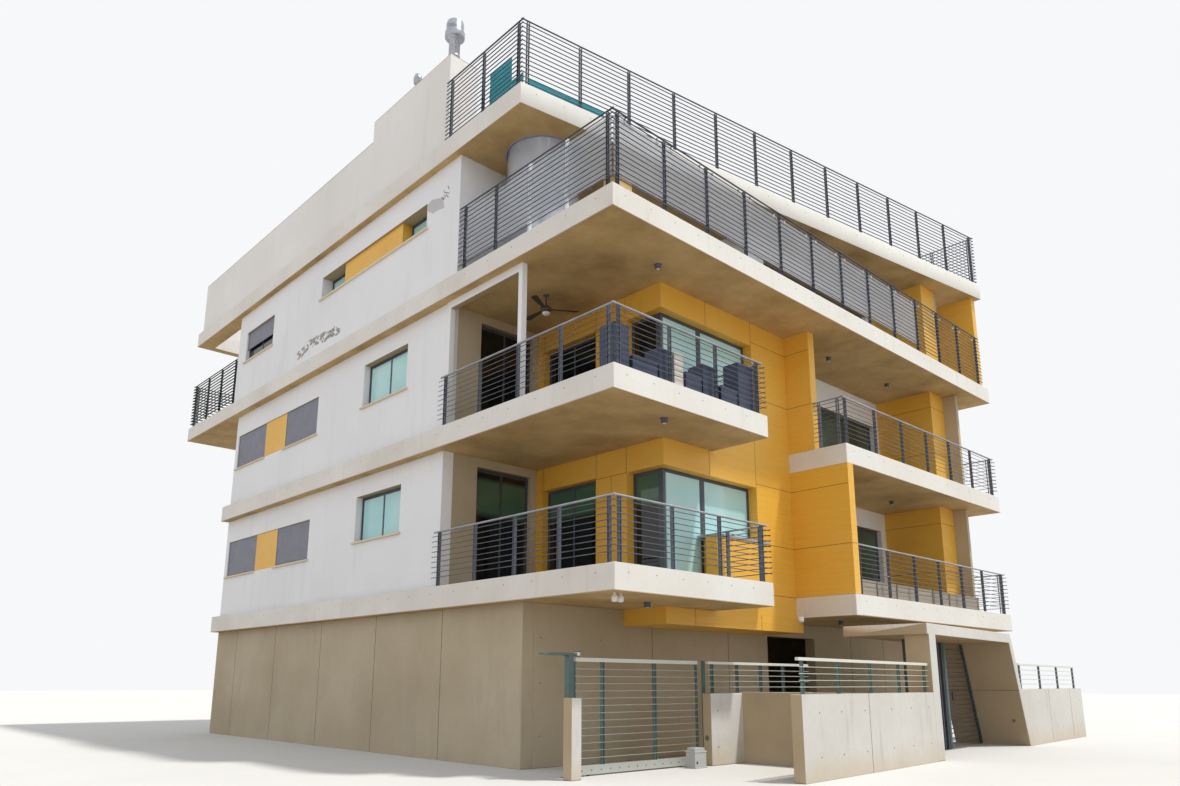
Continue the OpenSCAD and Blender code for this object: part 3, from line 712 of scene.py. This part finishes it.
frames = Shape()
for level in (F1, F2):
    street_side = Wall(frames, "front", CLAD_Y + GLASS_IN)
    street_side.window(CLAD_X + GLASS_IN, BOX_X, level, level + HEAD)
    street_side.window(BOX_X, BOX_END, level + SILL, level + HEAD)
    Wall(frames, "left", CLAD_X + GLASS_IN).window(CLAD_Y + 0.25, 2.25, level, level + HEAD)
    Wall(frames, "left", CLAD_X + 0.15).window(3.09, 4.7, level, level + HEAD + 0.03, HALVES)
    Wall(frames, "front", LOGGIA_Y + RECESS_IN).window(1.04, 2.45, level, level + 2.5, HALVES)
for level, head in ((F1, 2.2), (F2, 1.98), (F3, 2.13)):
    Wall(frames, "front", RECESS_Y + RECESS_IN).window(7.4, 12.26, level, level + head, QUARTERS)
Wall(frames, "front", TOP_Y + RECESS_IN).window(2, 6.3, F3, F3 + 2.13, QUARTERS)
frames.build("front_window_frames", FRAME_FINISHES, ["front_frames"], 0.002)

# Roller shutters
SHUTTER_FINISHES = "grey_shutter slat_shadow"
SHUTTER_W, SHUTTER_IN, SHUTTER_LOW, SHUTTER_TOP = 1.8, 0.05, 0.93, 2

slats = Shape()
for level in (F1, F2):
    for first, last in ((10.5, 12.33), (13.6, 15.46)):
        Wall(slats, "left", WALL_X).shutter(first, last, 0.03, level + 1.1, level + 2.07)
Wall(slats, "left", TOP_X).shutter(*REAR_WINDOW, SHUTTER_IN, F3 + 1.48, F3 + 2)
slats.build("left_shutter_slats", SHUTTER_FINISHES, ["left_shutters"])

slats = Shape()
for level in (F1, F2, F3):
    places = [("back", BACK_Y, start) for start in (1.5, 5, 8.5)]
    places += [("right", RIGHT_X, start) for start in (4.6, 8.2, 11.8)]
    for face, plane, start in places:
        terrace_door = level == F3 and start == 1.5
        low, top = (0, HEAD) if terrace_door else (SHUTTER_LOW, SHUTTER_TOP)
        Wall(slats, face, plane).shutter(start, start + SHUTTER_W, SHUTTER_IN, level + low, level + top)
slats.build("rear_shutter_slats", SHUTTER_FINISHES, ["rear_shutters"])

# Blinds of upright slats behind the glass, each turned a little
SLAT, SLAT_PITCH, SLAT_TURN = 0.085, 0.1, 0.02


def blind_slat(shape, a, b, z0, z1):
    """Slat between two plan points."""
    shape.add([(*a, z0), (*b, z0), (*b, z1), (*a, z1)], [(0, 1, 2, 3)])


blinds = Shape()
for level in (F1, F2):
    for i in range(17):
        u = 2.9 + i * SLAT_PITCH
        turn = SLAT_TURN * sin(i * 1.9)
        low = 0.05 if u < 3.9 else SILL + 0.05
        blind_slat(blinds, (u, 1.66 - turn), (u + SLAT, 1.66 + turn), level + low, level + HEAD - 0.04)
    for i in range(17):
        u = 6.5 + i * SLAT_PITCH
        turn = SLAT_TURN * sin(i * 2.3)
        if i % 9 != 4:
            blind_slat(blinds, (0.5 - turn, u), (0.5 + turn, u + SLAT), level + 1.27, level + 2.24)
blinds.build("upright_blinds", "blind_fabric")

# Joints between the ochre panels
LOW_COURSE, HIGH_COURSE = 1.02, 2.25

joints = Shape()
clad_front, clad_side = Wall(joints, "front", CLAD_Y), Wall(joints, "left", CLAD_X)
for level, top, front in ((F1, S2, -RIGHT_OUT), (F2, S3, PIER_Y)):
    head = level + HEAD
    clad_front.upright(BOX_X, head, top)
    clad_front.upright(CLAD_END, level, top)
    for y in (2.25, 3.08, 4.7):
        clad_side.upright(y, head, top)
    clad_side.upright(2.66, level, head)
    clad_side.course(2.25, 3.08, head)
    for z in (level + LOW_COURSE, level + HIGH_COURSE):
        clad_front.course(CLAD_END, FIN_X, z)
        Wall(joints, "left", FIN_X).course(front + 0.01, CLAD_Y, z)
        Wall(joints, "front", PIER_Y).course(PIER_X, PIER_X + 0.75, z)
        Wall(joints, "left", PIER_X).course(PIER_Y + 0.01, RECESS_Y, z)
    Wall(joints, "front", front).course(FIN_X, FIN_X + 0.22, level + LOW_COURSE)
for x in (3.4, CLAD_END):
    clad_front.upright(x, S1 - 0.3, S1)
clad_front.upright(CLAD_END, S2, F2)
clad_front.course(CORNER_1, FIN_X, F1 - 0.004)
joints.build("panel_joints", "joint_shadow")

# Seams between the pours of the concrete walls
seams = Shape()
for x in (3.37, 5.71, 10.6, 12.2):
    Wall(seams, "front", GROUND_Y).upright(x, 0, S1, SEAM)
for y in (4.7, 7.1, 9.5, 11.9, 14.3):
    Wall(seams, "left", WALL_X).upright(y, 0, S1, SEAM)
    Wall(seams, "left", RIGHT_X).upright(y, 0, S1, SEAM)
seams.build("wall_seams", "seam_shadow")

seams = Shape(STREET)
for s, top in ((2.166, WALL_TOP), (12.206, RIGHT_TOP), (14.106, RIGHT_TOP)):
    Wall(seams, "front", 0).upright(s, 0, top, STREET_SEAM)
seams.bar((9.9175, 0, 1.22), (9.9175, 1.65, 1.22), STREET_SEAM, sides=6)
seams.build("street_seams", "seam_shadow")


# Tie holes
holes = Shape()
for level, y, first, last in ((F1, 0, 0.3, CORNER_1), (F1, -RIGHT_OUT, FIN_X + 0.4, FRONT_W),
                              (F2, 0, 0.3, CORNER_2), (F2, -RIGHT_OUT, FIN_X + 0.3, FRONT_W),
                              (F3, 0, 0.3, TERRACE_W)):
    for x in steps(first, last - 0.1, 0.62):
        Wall(holes, "front", y).hole(x, level - 0.13 - draw.uniform(0, 0.02), SMALL_HOLE)
for level, end in ((F1, BACK_Y), (F2, BACK_Y), (F3, REAR_Y)):
    for y in steps(0.4, end - 0.2, 0.74):
        Wall(holes, "left", 0).hole(y, level - 0.14, SMALL_HOLE)
for x in (0.6, 2, 2.9, 4.6, 5.3, 6.6, 9.8, 11.3):
    for z in (0.5, 1.35, 2.1):
        Wall(holes, "front", GROUND_Y).hole(x, z)
for x in (3.2, 4.2, 5.2):
    for z in (0.9, 0.3):
        Wall(holes, "front", 0.7).hole(x, z)
Wall(holes, "left", 3.02).hole(0.8, 0.45, 0.045, 16)
roof_edge_out = Vector((sin(SKEW), -cos(SKEW), 0))
for s in steps(0.35, 14.5, 0.62):
    spot = ROOF_EDGE @ Vector((s, -HOLE_PROUD, 0))
    holes.disc((spot.x, spot.y, ROOF - 0.14), roof_edge_out, SMALL_HOLE)
holes.build("tie_holes", "tie_hole")

holes = Shape(STREET)
for s in (0.5, 1.2, 2, 3, 3.8, 4.6, 11.4, 13.2, 15):
    for z in (0.95, 0.33):
        Wall(holes, "front", 0).hole(s, z)
holes.disc((10.1597, 0.25, 0.55), (-2.26, 0, -0.82), 0.04, 16)
holes.build("street_tie_holes", "tie_hole")


# Broken plaster on the left side
def patch(shape, y, z, size, turn, mark=0, proud=0.001, stretch=(1.6, 0.7)):
    """Irregular spot on the wall of the top storey, a millimetre or two proud."""
    sides = 9
    rim = []
    for c, s in circle(sides):
        reach = size * draw.uniform(0.6, 1)
        u, v = reach * c * stretch[0], reach * s * stretch[1]
        rim.append((TOP_X - proud, y + u * cos(turn) - v * sin(turn),
                    z + u * sin(turn) + v * cos(turn)))
    faces = [(i, (i + 1) % sides, sides) for i in range(sides)]
    shape.add(rim + [(TOP_X - proud - 0.001, y, z)], faces, mark)


spots = Shape()
for i in range(72):
    share = i / 71
    y = 11.51 - 2.17 * share
    z = 9.56 + 0.62 * share if share < 0.28 else 9.734 - 0.12 * (share - 0.28)
    patch(spots, y + draw.uniform(-0.1, 0.1), z + draw.uniform(-0.12, 0.1), draw.uniform(0.025, 0.085),
          draw.uniform(-0.9, 0.5))
patch(spots, 5.26, 11.18, 0.26, 0.4, 1, 0.001, (1.5, 0.8))
for i in range(10):
    patch(spots, 4.92 + draw.uniform(-0.14, 0.14), 11.3 + draw.uniform(-0.1, 0.1), draw.uniform(0.03, 0.055),
          draw.uniform(0.4, 1.2), 0, 0.0025, (1.9, 0.35))
spots.build("broken_plaster", "plaster_damage plaster_patch")

# Copings and drip edges
COPING, COPING_W, REAR_SET = 0.018, 0.25, 0.43
low_top, high_top = ROOF + PARAPET, ROOF + PARAPET_HIGH
slab_back, slab_right, rear_top = BACK_Y + 0.05, RIGHT_X + 0.05, REAR_Y - REAR_SET

coping = Shape()
for x0, x1, y0, y1, z in (
        (0, 0.33, PARAPET_Y, STEP_Y, high_top),
        (0.33, 0.73, PARAPET_Y, PARAPET_Y + COPING_W, high_top),
        (0, 0.33, STEP_Y, rear_top, low_top),
        (0.33, REAR_X, rear_top - COPING_W, rear_top, low_top),
        (REAR_X - COPING_W, REAR_X, slab_back - COPING_W, rear_top - COPING_W, low_top),
        (REAR_X, slab_right, slab_back - COPING_W, slab_back, low_top),
        (slab_right - COPING_W, slab_right, PARAPET_Y, slab_back - COPING_W, low_top)):
    coping.box(x0, x1, y0, y1, z, z + COPING)
coping.build("parapet_coping", "coping", (), 0.004)

DRIP, DRIP_IN, DRIP_OUT = 0.014, 0.01, 0.0015
drips = Shape()
for z, x0, x1, y in ((S1, -DRIP_OUT, CORNER_1, 0), (S2, -DRIP_OUT, CORNER_2, 0),
                     (S3, -DRIP_OUT, TERRACE_W, 0), (S1, FIN_X + 0.22, FRONT_W, -RIGHT_OUT),
                     (S2, FIN_X + 0.22, FRONT_W, -RIGHT_OUT)):
    drips.box(x0, x1, y - DRIP_OUT, y + DRIP_IN, z, z + DRIP)
for z, y1 in ((S1, slab_back), (S2, slab_back), (S3, REAR_Y)):
    drips.box(-DRIP_OUT, DRIP_IN, DRIP_IN, y1, z, z + DRIP)
drips.build("slab_drips", "coping")

box_coping = Shape()
box_coping.box(3.74, CLAD_END, CLAD_Y - 0.29, CLAD_Y + GLASS_IN, F1 + SILL, F1 + SILL + 0.05)
box_coping.box(BOX_X, BOX_END, CLAD_Y - 0.03, CLAD_Y + GLASS_IN, F2 + SILL - 0.002, F2 + SILL + 0.03)
box_coping.build("window_box_coping", "handrail_steel", (), 0.006)

# Planters
TUB_FINISHES = "planter_cement dark_planter pale_planter peach_planter soil"
CEMENT, DARK, PALE, PEACH, SOIL = range(5)
TUB_WALL, RIM = 0.03, 0.05


def tub(shape, x0, x1, y0, z, width, height, mark):
    """Planter of thin walls with a rolled rim and soil to just below it."""
    y1, top = y0 + width, z + height
    left, right, front, back = x0 + TUB_WALL, x1 - TUB_WALL, y0 + TUB_WALL, y1 - TUB_WALL
    shape.box(x0, left, y0, y1, z, top, mark)
    shape.box(right, x1, y0, y1, z, top, mark)
    shape.box(left, right, y0, front, z, top, mark)
    shape.box(left, right, back, y1, z, top, mark)
    shape.box(left, right, front, back, z, top - RIM, SOIL)
    shape.box(x0 - 0.006, x1 + 0.006, y0 - 0.008, y0 + 0.012, top - RIM, top - 0.002, mark)


tubs = Shape()
for x in steps(7.15, 13, 0.85):
    tub(tubs, x, x + 0.78, 0.14, F1, 0.34, 0.36, CEMENT)
for x0, x1, width, height, mark in (
        (0.18, 0.52, 0.34, 0.78, DARK), (0.6, 1.2, 0.3, 0.32, DARK), (1.24, 1.57, 0.33, 0.63, DARK),
        (1.62, 1.85, 0.23, 0.65, PALE), (1.92, 2.34, 0.3, 0.38, DARK), (2.38, 2.79, 0.34, 0.64, DARK),
        (2.89, 3.36, 0.3, 0.37, DARK), (3.4, 3.86, 0.34, 0.94, DARK)):
    tub(tubs, x0, x1, 0.16, F2, width, height, mark)
tub(tubs, 0.23, 0.57, 0.11, F3, 0.34, 0.52, PEACH)
tubs.build("planter_tubs", TUB_FINISHES, ["planters"], 0.006)

# Glass shaft and its lined opening, with profiles of radius and height
SHAFT = (1.35, 3.35, F3)
SHAFT_R, SHAFT_H = 0.74, ROOF - F3 + 0.3
shaft = Shape()
shaft.turned(SHAFT, [(SHAFT_R, 0), (SHAFT_R, SHAFT_H), (SHAFT_R - 0.01, SHAFT_H), (SHAFT_R - 0.01, 0),
                     (SHAFT_R, 0)], 96)
shaft.build("shaft_tube", "shaft_glass", ["drum"])

low, high, foot = S4 - F3, ROOF - F3 + 0.28, 0.04
lip = low - 0.012
liner = Shape()
liner.turned(SHAFT, [(0.768, low), (0.768, high), (0.756, high), (0.756, lip), (0.79, lip), (0.79, low)], 96)
liner.turned(SHAFT, [(0.742, 0), (0.775, 0), (0.775, foot), (0.742, foot)], 96, 1)
# The lining's violet grey is painted shade
liner.build("opening_liner", "opening_liner bare_metal")

# Flues and the shaft's pole
TALL_FLUE, SMALL_FLUE = (0.8, 6, ROOF), (0.7, 7.4, ROOF)
TALL_PROFILE = [(0.2, 0), (0.2, 0.02), (0.13, 0.06), (0.13, 3.71), (0.205, 3.72), (0.232, 3.745),
                (0.235, 3.8), (0.235, 3.87), (0.222, 3.9), (0.208, 3.905), (0.208, 4.1), (0.196, 4.15),
                (0.15, 4.18), (0, 4.19)]
SMALL_PROFILE = [(0.12, 0), (0.06, 0.04), (0.06, 3.24), (0.1, 3.27), (0.108, 3.4), (0.08, 3.5), (0, 3.54)]
POLE_H = ROOF - F3 + 0.9

flues = Shape()
flues.turned(TALL_FLUE, TALL_PROFILE, 48)
for z in (1.1, 2.2, 3.2):
    flues.turned(TALL_FLUE, [(0.13, z), (0.139, z + 0.01), (0.139, z + 0.05), (0.13, z + 0.06)], 40)
flues.turned(SMALL_FLUE, SMALL_PROFILE)
flues.turned(SHAFT, [(0, 0), (0.055, 0), (0.055, POLE_H - 0.01), (0.04, POLE_H), (0, POLE_H)])
flues.build("flue_pipes", "bare_metal", ["flues"])

# Lamps under the slabs
LAMP = [(0, -0.09), (0.045, -0.09), (0.055, -0.075), (0.055, -0.012), (0.07, -0.008), (0.07, 0)]
LAMP_GLASS = [(0, -0.094), (0.034, -0.094), (0.036, -0.088)]
SPOTLIGHT = [(0, -0.14), (0.045, -0.13), (0.045, -0.05), (0.02, -0.03), (0.02, 0)]
WALL_LAMP = [(0, -0.05), (0.05, -0.045), (0.06, -0.01), (0.06, 0.05), (0.04, 0.06)]

fittings = Shape()
for spot in ((2.05, 0.87, S3), (1.75, 0.52, S2), (1.77, 0.99, S1), (10.96, 1.18, S2), (7.95, 1.02, S1),
             (8.42, 1.2, S3), (11.13, 1.16, S3)):
    fittings.turned(spot, LAMP, 20)
    fittings.turned(spot, LAMP_GLASS, 20, 1)
for x in (0.27, 0.4):
    fittings.turned((x, 0.27, S1), SPOTLIGHT, 20, 2)
fittings.turned((6.39, 1.01, 2.62), WALL_LAMP, 20, 2)
fittings.build("soffit_lamps", "dark_steel bulb_glass pale_posts")

# Ceiling fan
HUB = Vector((1.39, 3.25, 8.57))
HOUSING = [(0, -0.07), (0.05, -0.07), (0.1, -0.03), (0.11, 0.02), (0.07, 0.06), (0.014, 0.07),
           (0.014, 0.26), (0.05, 0.285), (0.055, 0.31)]
FAN_LIGHT = [(0, -0.13), (0.05, -0.12), (0.08, -0.09), (0.08, -0.07)]
BLADE = ((0.1, -0.03, -0.004), (0.62, -0.065, -0.012), (0.66, 0, 0), (0.62, 0.065, 0.012),
         (0.1, 0.03, 0.004))
BLADE_THICK = 0.008

fan = Shape()
fan.turned(HUB, HOUSING)
fan.turned(HUB, FAN_LIGHT, 32, 1)
for i in range(3):
    heading = radians(87 + i * 120)
    out = Vector((cos(heading), sin(heading), 0))
    side = Vector((-out.y, out.x, 0))
    low = [HUB + out * reach + side * width + UP * lift for reach, width, lift in BLADE]
    high = [p + UP * BLADE_THICK for p in low]
    fan.add(low + high, [(4, 3, 2, 1, 0), (5, 6, 7, 8, 9)] + ring_faces(5, 0, 5))
fan.build("ceiling_fan", "fan_blades bulb_glass")

# Bulbs along the terrace rail, two beside each post
BULB = [(0, 0), (0.018, 0.006), (0.028, 0.024), (0.026, 0.044), (0.014, 0.066)]
BULB_Y, BULB_Z, POST_STEP = 0.085, F3 + TERRACE_RAIL_H - 0.03, 1.1717

lights = Shape()
for i in range(24):
    x = 0.19 + POST_STEP * ((i + 1) // 2) + (-0.17 if i % 2 else 0.2)
    spot = Vector((x, BULB_Y, BULB_Z))
    lights.bar(spot, spot - UP * 0.06, 0.026)
    lights.turned(spot - UP * 0.125, BULB, 12, 1)
lights.bar((0.3, BULB_Y, BULB_Z - 0.045), (14, BULB_Y, BULB_Z - 0.045), 0.008, sides=6)
lights.build("rail_bulbs", "dark_steel bulb_glass")

# Boundary rails
PALE_FINISHES = "pale_steel post_steel gate_foot dark_steel thin_rails"
CAP, THIN_BAR = 0.045, 0.012


def pale_rail(shape, length, height, bays):
    """Rail with four thin bars, paired posts and a wide cap."""
    for i in range(bays + 1):
        at = 0.13 + i * (length - 0.26) / bays
        for side in (-0.024, 0.024):
            shape.box(at + side - 0.005, at + side + 0.005, 0.012, 0.05, 0, height - 0.04, 1)
        shape.box(at - 0.05, at + 0.05, 0.002, 0.06, 0, 0.008, 1)
    for i in range(1, 5):
        level = i * (height - CAP) / 5 + 0.005
        shape.bar((0, 0.0065, level), (length, 0.0065, level), THIN_BAR, mark=4)
    shape.box(0, length, 0, 0.06, height - CAP, height)


boundary = Shape(STREET @ Matrix.Translation((0.07, 0.06, WALL_TOP)))
pale_rail(boundary, 4.785, 0.52, 4)
boundary.place = STREET @ Matrix.Translation((10.24, 0.06, RIGHT_TOP))
pale_rail(boundary, 4.85, 0.575, 3)
boundary.place = Matrix.Translation((3.05, 0.76, WALL_TOP - 0.02))
pale_rail(boundary, 3.12, 0.536, 4)
boundary.build("boundary_rails", PALE_FINISHES, ["street_rails"], 0.003)

# Gate posts, of which the first has an arm and a lamp
posts = Shape()
posts.box(-0.08, 0.02, 0.89, 0.99, 0, 1.76)
posts.box(-0.585, 0.09, 0.89, 0.99, 1.76, 1.8)
posts.box(-0.12, 0.06, 0.86, 1.02, 0, 0.012)
posts.box(0.092, 0.17, 0.9, 0.98, 1.75, 1.76)
posts.box(0.092, 0.17, 0.9, 0.98, 1.815, 1.83)
posts.box(0.097, 0.165, 0.905, 0.975, 1.76, 1.815, 1)
posts.box(3.05, 3.11, 0.882, 0.922, 0, 1.728)
posts.box(3.044, 3.116, 0.878, 0.926, 1.728, 1.74)
for z in (0.5, 1, 1.5):
    posts.bar((-0.03, 0.89, z), (-0.03, 0.884, z), 0.024, sides=6)
posts.build("gate_post_tubes", "post_steel bulb_glass", ["gate_posts"], 0.004)

motor = Shape()
motor.box(2.44, 2.73, 0.595, 0.79, 0.02, 0.25)
motor.box(2.43, 2.74, 0.59, 0.795, 0.245, 0.27)
motor.box(2.46, 2.71, 0.61, 0.78, 0.27, 0.32)
motor.box(2.43, 2.74, 0.58, 0.8, 0, 0.02)
motor.disc((2.495, 0.594, 0.09), (0, -1, 0), 0.025, 20, 1)
motor.build("motor_cover", "motor_housing dark_steel", ["gate_motor"], 0.008)

# Sliding gate
GATE_W, GATE_THICK, GATE_FOOT, GATE_RAIL, GATE_TOP = 2.88, 0.07, 0.15, 1.675, 1.735

gate = Shape(Matrix.Translation((0.09, 0.93, 0)))
gate.box(0, GATE_W, 0, GATE_THICK, GATE_RAIL, GATE_TOP)
gate.box(0, GATE_W, 0, GATE_THICK, 0.02, GATE_FOOT, 2)
for x in (0, 0.572, 0.612, 1.765, 1.805, 2.855):
    gate.box(x, x + 0.025, 0.012, 0.058, GATE_FOOT, GATE_RAIL, 1)
for z in steps(0.258, GATE_RAIL - 0.1, 0.109):
    gate.bar((0.003, 0.0065, z), (GATE_W - 0.003, 0.0065, z), THIN_BAR, mark=4)
for x in steps(0.14, GATE_W, 0.2):
    gate.bar((x, 0.006, 0.085), (x, -0.005, 0.085), 0.02, sides=6, mark=3)
for x in (0.3, 2.4):
    gate.bar((x, 0.02, 0.052), (x, 0.05, 0.052), 0.1, sides=20, mark=3)
gate.build("sliding_gate_bars", PALE_FINISHES, ["sliding_gate"], 0.003, "sliding_gate_leaf")

# Entrance panel and gate
GATE_D, LEAF_TOP, PIVOT, TUBE_TOP = 1, 2.24, 8.35, 2.22
RUNGS = steps(0.1, LEAF_TOP - 0.1, 0.1)

panel = Shape(STREET)
for s in (6.15, 7.02, 7.89, 8.09):
    panel.box(s, s + 0.06, GATE_D - 0.02, GATE_D + 0.04, 0, LEAF_TOP)
    panel.box(s - 0.03, s + 0.09, GATE_D - 0.05, GATE_D + 0.07, 0, 0.012)
for z in RUNGS:
    panel.bar((6.17, GATE_D + 0.007, z + 0.01), (7.93, GATE_D + 0.007, z + 0.01), 0.02)
panel.build("side_panel_bars", "dark_steel", ["entrance_side_panel"], 0.003)

leaf = Shape(STREET)
tube = [(0, 0), (0.034, 0), (0.04, 0.006), (0.04, TUBE_TOP - 0.006), (0.034, TUBE_TOP), (0, TUBE_TOP)]
leaf.turned((PIVOT, GATE_D + 0.03, 0.02), tube, 32, 1)
for z in RUNGS:
    end = 10.28 - (z - 0.02) * 0.81 / TUBE_TOP
    leaf.box(PIVOT + 0.02, end, GATE_D + 0.02, GATE_D + 0.035, z, z + 0.02)
stringer = [(10.22, 0.02), (10.31, 0.02), (9.5, LEAF_TOP), (9.41, LEAF_TOP)]
leaf.add([(s, y, z) for y in (GATE_D + 0.01, GATE_D + 0.05) for s, z in stringer], BLOCK_FACES, 2)
leaf.box(8.6, 8.66, GATE_D - 0.005, GATE_D + 0.02, 1, 1.2, 2)
leaf.build("entrance_gate_bars", "dark_steel gate_tube gate_stringer", ["entrance_gate"], 0.003,
           "entrance_gate_leaf")


# Floor and background, pale where they are seen and darker in the light they give back
FLOOR_HALF = 120
floor_mesh = bpy.data.meshes.new("floor")
floor_corners = [(x * FLOOR_HALF, y * FLOOR_HALF, 0) for x, y in ((-1, -1), (1, -1), (1, 1), (-1, 1))]
floor_mesh.from_pydata(floor_corners, [], [(0, 1, 2, 3)])
floor = placed("floor", floor_mesh)

ground = Finish("floor", 0.9)
pale_ground = ground.mix(ground.ramp(ground.noise(0.3), 0.3, 0.7), (208, 207, 204), (203, 202, 199))
ground.color(ground.mix(ground.seen_plainly(), (158, 152, 142), pale_ground))
floor_mesh.materials.append(FINISHES["floor"])

world = bpy.data.worlds.new("studio")
scene.world = world
world.use_nodes = True
sky = Graph(world.node_tree)
lit = sky.tree.nodes["Background"]
sky.put(lit, "Color", (0.93, 0.96, 1, 1))
sky.put(lit, "Strength", 0.83)
plain = sky.add("Background", {"Color": (0.93, 0.94, 0.95, 1), "Strength": 1})
shown = sky.add("MixShader", {0: sky.seen_plainly(), 1: lit.outputs[0], 2: plain.outputs[0]})
sky.put(sky.tree.nodes["World Output"], "Surface", shown.outputs[0])


# Sun and camera, with headings clockwise from straight ahead
def direction(heading, height):
    flat = cos(radians(height))
    heading = radians(heading)
    return Vector((sin(heading) * flat, cos(heading) * flat, sin(radians(height))))


lamp = bpy.data.lights.new("key_light", "SUN")
lamp.energy = 3
lamp.angle = radians(3)
lamp.color = (1, 0.97, 0.92)
sun = placed("key_light", lamp)
toward = direction(147, 66)
sun.rotation_mode = "QUATERNION"
sun.rotation_quaternion = toward.to_track_quat("Z", "Y")
sun.location = toward * 60

EYE, HEADING, PITCH, ROLL = Vector((-8.869, -8.802, 1.369)), 43.084, 12.508, radians(0.187)
lens = bpy.data.cameras.new("camera")
lens.sensor_width = 36
lens.lens = 26.19
lens.shift_x = 0.006
lens.shift_y = 0.0837
lens.clip_start = 0.1
lens.clip_end = 400
camera = placed("camera", lens)
ahead = direction(HEADING, PITCH)
level = direction(HEADING + 90, 0)
right = level * cos(ROLL) + level.cross(ahead) * sin(ROLL)
turn = Matrix((right, right.cross(ahead), -ahead)).transposed()
camera.matrix_world = Matrix.Translation(EYE - MIDDLE) @ turn.to_4x4()
scene.camera = camera

scene.view_settings.view_transform = "Standard"
